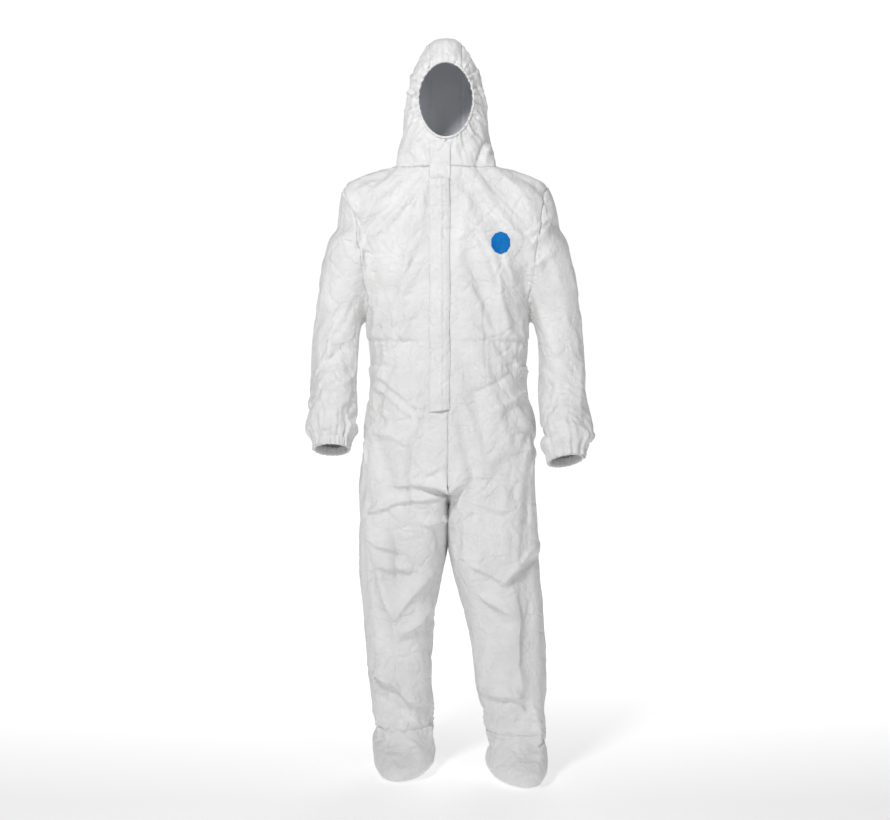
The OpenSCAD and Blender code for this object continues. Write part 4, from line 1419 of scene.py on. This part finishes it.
def zip_tapes():
    for side, s in (("left", 1), ("right", -1)):
        lo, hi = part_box("zip_tape_" + side)
        x_in, x_out = (lo.x, hi.x) if s > 0 else (hi.x, lo.x)
        bottom, top = end_places("zip_tape_" + side)

        def place(u, v):
            x = x_in + (x_out - x_in) * u
            _, y, z = bottom + (top - bottom) * v
            return Vector((x, y + 0.0004 * math.sin(z * 170 + 5 * u) * u, z))
        ob, _ = strip_sheet("zip_ribbon_" + side, 6, 160, place, tape, 0.0005)
        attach(ob, "torso")
        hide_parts("zip_tape_" + side)


def zip_coil(side, s):
    """Nylon coil: one bent wire loop after another, interlocking with the other side's."""
    bottom, top = end_places("zip_coil_" + side)
    length = np.linalg.norm(top - bottom)
    low = np.array([zip_x, bottom[1], bottom[2]])
    pitch, wire, sides = 0.0014, 0.00034, 6
    verts, faces = [], []
    start = pitch / 2 if s > 0 else 0
    path = [(0.0042, -0.0007), (0.0026, -0.0009), (0.0016, -0.0009), (0.0010, -0.0006), (0.0008, 0.0),
            (0.0010, 0.0006), (0.0016, 0.0009), (0.0026, 0.0009), (0.0042, 0.0007)]
    for k in range(int((length - pitch) / pitch)):
        centre = low + up * (start + k * pitch)
        ring_start = len(verts)
        for i, (a, b) in enumerate(path):
            rise = 0.0004 * (i / (len(path) - 1) - 0.5)
            p = centre + np.array([s * a, 0, 0]) + out_dir * -b + up * rise
            ahead = path[min(i + 1, len(path) - 1)]
            behind = path[max(i - 1, 0)]
            t = np.array([s * (ahead[0] - behind[0]), 0, 0]) + out_dir * -(ahead[1] - behind[1])
            t /= np.linalg.norm(t)
            n1 = np.cross(t, up)
            for j in range(sides):
                a2 = j * 2 * math.pi / sides
                verts.append(p + wire * (math.cos(a2) * up + math.sin(a2) * n1))
        faces += grid_faces(len(path), sides, around=True, start=ring_start)
        faces.append(tuple(ring_start + j for j in range(sides))[::-1])
        last = ring_start + (len(path) - 1) * sides
        faces.append(tuple(last + j for j in range(sides)))
    core = [(0.0013, -0.0004), (0.0040, -0.0004), (0.0040, 0.0004), (0.0013, 0.0004)]
    k = len(verts)
    for end in (low, low + up * length):
        verts += [end + np.array([s * a, 0, 0]) - out_dir * b for a, b in core]
    faces += [(k + j, k + (j+1) % 4, k + 4 + (j+1) % 4, k + 4 + j) for j in range(4)]
    faces += [(k + 3, k + 2, k + 1, k), (k + 4, k + 5, k + 6, k + 7)]
    ob = mesh_object("nylon_coil_" + side, verts, faces)
    smooth(ob)
    ob.data.materials.append(plastic)
    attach(ob, "torso")
    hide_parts("zip_coil_" + side)


def zip_hardware():
    for name in ("zip_slider", "pull_tab", "zip_top_stops", "zip_bottom_stop"):
        ob = nodes[name]
        ob.hide_render = False
        ob.data.materials.clear()
        ob.data.materials.append(plastic)
        m = ob.modifiers.new("soft_edges", "BEVEL")
        m.width, m.segments = 0.00025, 2


face_hem()
cuff("left")
cuff("right")
closure()
badge()
label()
zip_tapes()
zip_coil("left", 1)
zip_coil("right", -1)
zip_hardware()

turn = np.arctan2(suit_rest[:, 1] - body_y, suit_rest[:, 0] - body_x)
on_body = on_torso(panel_of(suit_rest))
away = (np.abs(suit_rest[:, 0] - zip_x) > 0.03) | (suit_rest[:, 1] > body_y)
turn_from_zip = np.mod(turn + math.pi / 2 + 0.1, 2 * math.pi)
rows = [trace(suit_rest[:, 2], waist_z + s * (WAIST_HALF + 0.0005), on_body & away, turn_from_zip)
        for s in (-1, 1)]
stitches("waist_stitches", rows, "torso")
lines = []
for s in (-1, 1):
    q = (suit_rest[:, 0] - body_x) * s
    off = ((q - ARM_LOW[0]) * (ARM_TOP[1] - ARM_LOW[1]) - (suit_rest[:, 2] - ARM_LOW[1])
           * (ARM_TOP[0] - ARM_LOW[0])) / math.hypot(ARM_TOP[1] - ARM_LOW[1], ARM_TOP[0] - ARM_LOW[0])
    around = np.arctan2(suit_rest[:, 2] - 1.35, suit_rest[:, 1] - body_y)
    around = np.mod(around + math.pi / 2, 2 * math.pi)
    lines.append(trace(off, -0.004, (q > 0.15) & (suit_rest[:, 2] > 1.2), around))
stitches("armhole_stitches", lines, "torso")
chest = (np.abs(suit_rest[:, 0] - body_x) < 0.13) & away
stitches("neck_stitches", [trace(suit_rest[:, 2], neck_z - 0.004, chest, turn_from_zip)], "torso")
front_low = (suit_rest[:, 2] < flap_lo.z - 0.004) & (suit_rest[:, 2] > 0.76) & (suit_rest[:, 1] < 0.02)
stitches("fly_stitches", [trace(suit_rest[:, 0], body_x + s * 0.004, front_low, suit_rest[:, 2])
                          for s in (-1, 1)], "torso")
for side, s in (("left", 1), ("right", -1)):
    own = (suit_rest[:, 0] - body_x) * s > 0
    mid = np.array([0.164, -0.015]) if s > 0 else np.array([-0.12, 0.045])
    around = np.arctan2(suit_rest[:, 1] - mid[1], suit_rest[:, 0] - mid[0])
    stitches(side + "_ankle_stitches", [trace(suit_rest[:, 2], ankle_z + 0.004, own, around)], side + "_leg")
round_face, face_turn = face_polar(suit_rest)
hood_front = (suit_rest[:, 1] < body_y) & (suit_rest[:, 2] > neck_z + 0.03)
over_chin = (np.abs(suit_rest[:, 0] - zip_x) < 0.03) & (suit_rest[:, 2] < 1.62)
stitches("face_stitches", [trace(round_face, 1.17, hood_front & ~over_chin,
                                 np.mod(face_turn + math.pi / 2, 2 * math.pi))], "hood")

# ---------------------------------------------------------------- camera, lights, floor

cam_data = bpy.data.cameras.new("camera")
cam = bpy.data.objects.new("camera", cam_data)
scene.collection.objects.link(cam)
cam.location = (body_x, -4.45, 1.15)
target = Vector((body_x - 0.008, 0, 0.9205))
cam.rotation_euler = (target - cam.location).to_track_quat("-Z", "Y").to_euler()
cam_data.sensor_width = 36
cam_data.lens = 71.5
scene.camera = cam
scene.view_settings.view_transform = "Standard"


def studio_world():
    """A white band all round at eye level under a dim ceiling, for soft light with darker sides."""
    world = bpy.data.worlds.new("studio")
    world.use_nodes = True
    place = node(world, "TexCoord")
    split = node(world, "SeparateXYZ")
    side = node(world, "Math")
    side.operation = "ABSOLUTE"
    both = node(world, "Mix", Factor=1)
    both.data_type, both.blend_type = "RGBA", "MULTIPLY"
    height = node(world, "ValToRGB")
    across = node(world, "ValToRGB")
    for ramp, near, far, dim in ((height, 0.2, 0.34, 0.12), (across, 0.28, 0.6, 0.45)):
        ramp.color_ramp.elements[0].position, ramp.color_ramp.elements[1].position = near, far
        ramp.color_ramp.elements[0].color = (1, 1, 1, 1)
        ramp.color_ramp.elements[1].color = (dim, dim, dim * 1.04, 1)
    background = world.node_tree.nodes["Background"]
    link(world, place.outputs["Generated"], split.inputs[0])
    link(world, split.outputs["Z"], height.inputs["Fac"])
    link(world, split.outputs["X"], side.inputs[0])
    link(world, side.outputs[0], across.inputs["Fac"])
    link(world, height.outputs["Color"], both.inputs["A"])
    link(world, across.outputs["Color"], both.inputs["B"])
    link(world, both.outputs["Result"], background.inputs["Color"])
    background.inputs["Strength"].default_value = 1.02
    scene.world = world


def area_light(name, place, aim, size, power):
    d = bpy.data.lights.new(name, "AREA")
    d.shape, d.size, d.energy = "SQUARE", size, power
    o = bpy.data.objects.new(name, d)
    scene.collection.objects.link(o)
    o.location = place
    o.rotation_euler = (Vector(aim) - Vector(place)).to_track_quat("-Z", "Y").to_euler()


studio_world()
area_light("key", (-1.2, -2.6, 3.4), (0, 0, 1.1), 0.6, 82)
area_light("back", (0.6, 3.2, 3.2), (0, 0, 1.0), 1.6, 26)
area_light("fill", (1.7, -2.6, 2.4), (0, 0, 1.1), 1.2, 12)

FLOOR = 60
floor = mesh_object("floor", [(-FLOOR, -FLOOR, 0), (FLOOR, -FLOOR, 0), (FLOOR, FLOOR, 0), (-FLOOR, FLOOR, 0)],
                    [(0, 1, 2, 3)])
# The floor glows, which is painted light: half strength in front of the suit, rising to full strength 1.6 m behind
# it, so that it fades into the white band of the world.
glowing_floor, b = shader("glowing_floor", (0.55, 0.55, 0.55), 0.8)
b.inputs["Emission Color"].default_value = (1, 1, 1, 1)
place = node(glowing_floor, "TexCoord")
depth = node(glowing_floor, "SeparateXYZ")
glow = node(glowing_floor, "MapRange", From_Min=-0.3, From_Max=1.6, To_Min=0.5)
link(glowing_floor, place.outputs["Object"], depth.inputs[0])
link(glowing_floor, depth.outputs["Y"], glow.inputs["Value"])
link(glowing_floor, glow.outputs["Result"], b.inputs["Emission Strength"])
floor.data.materials.append(glowing_floor)
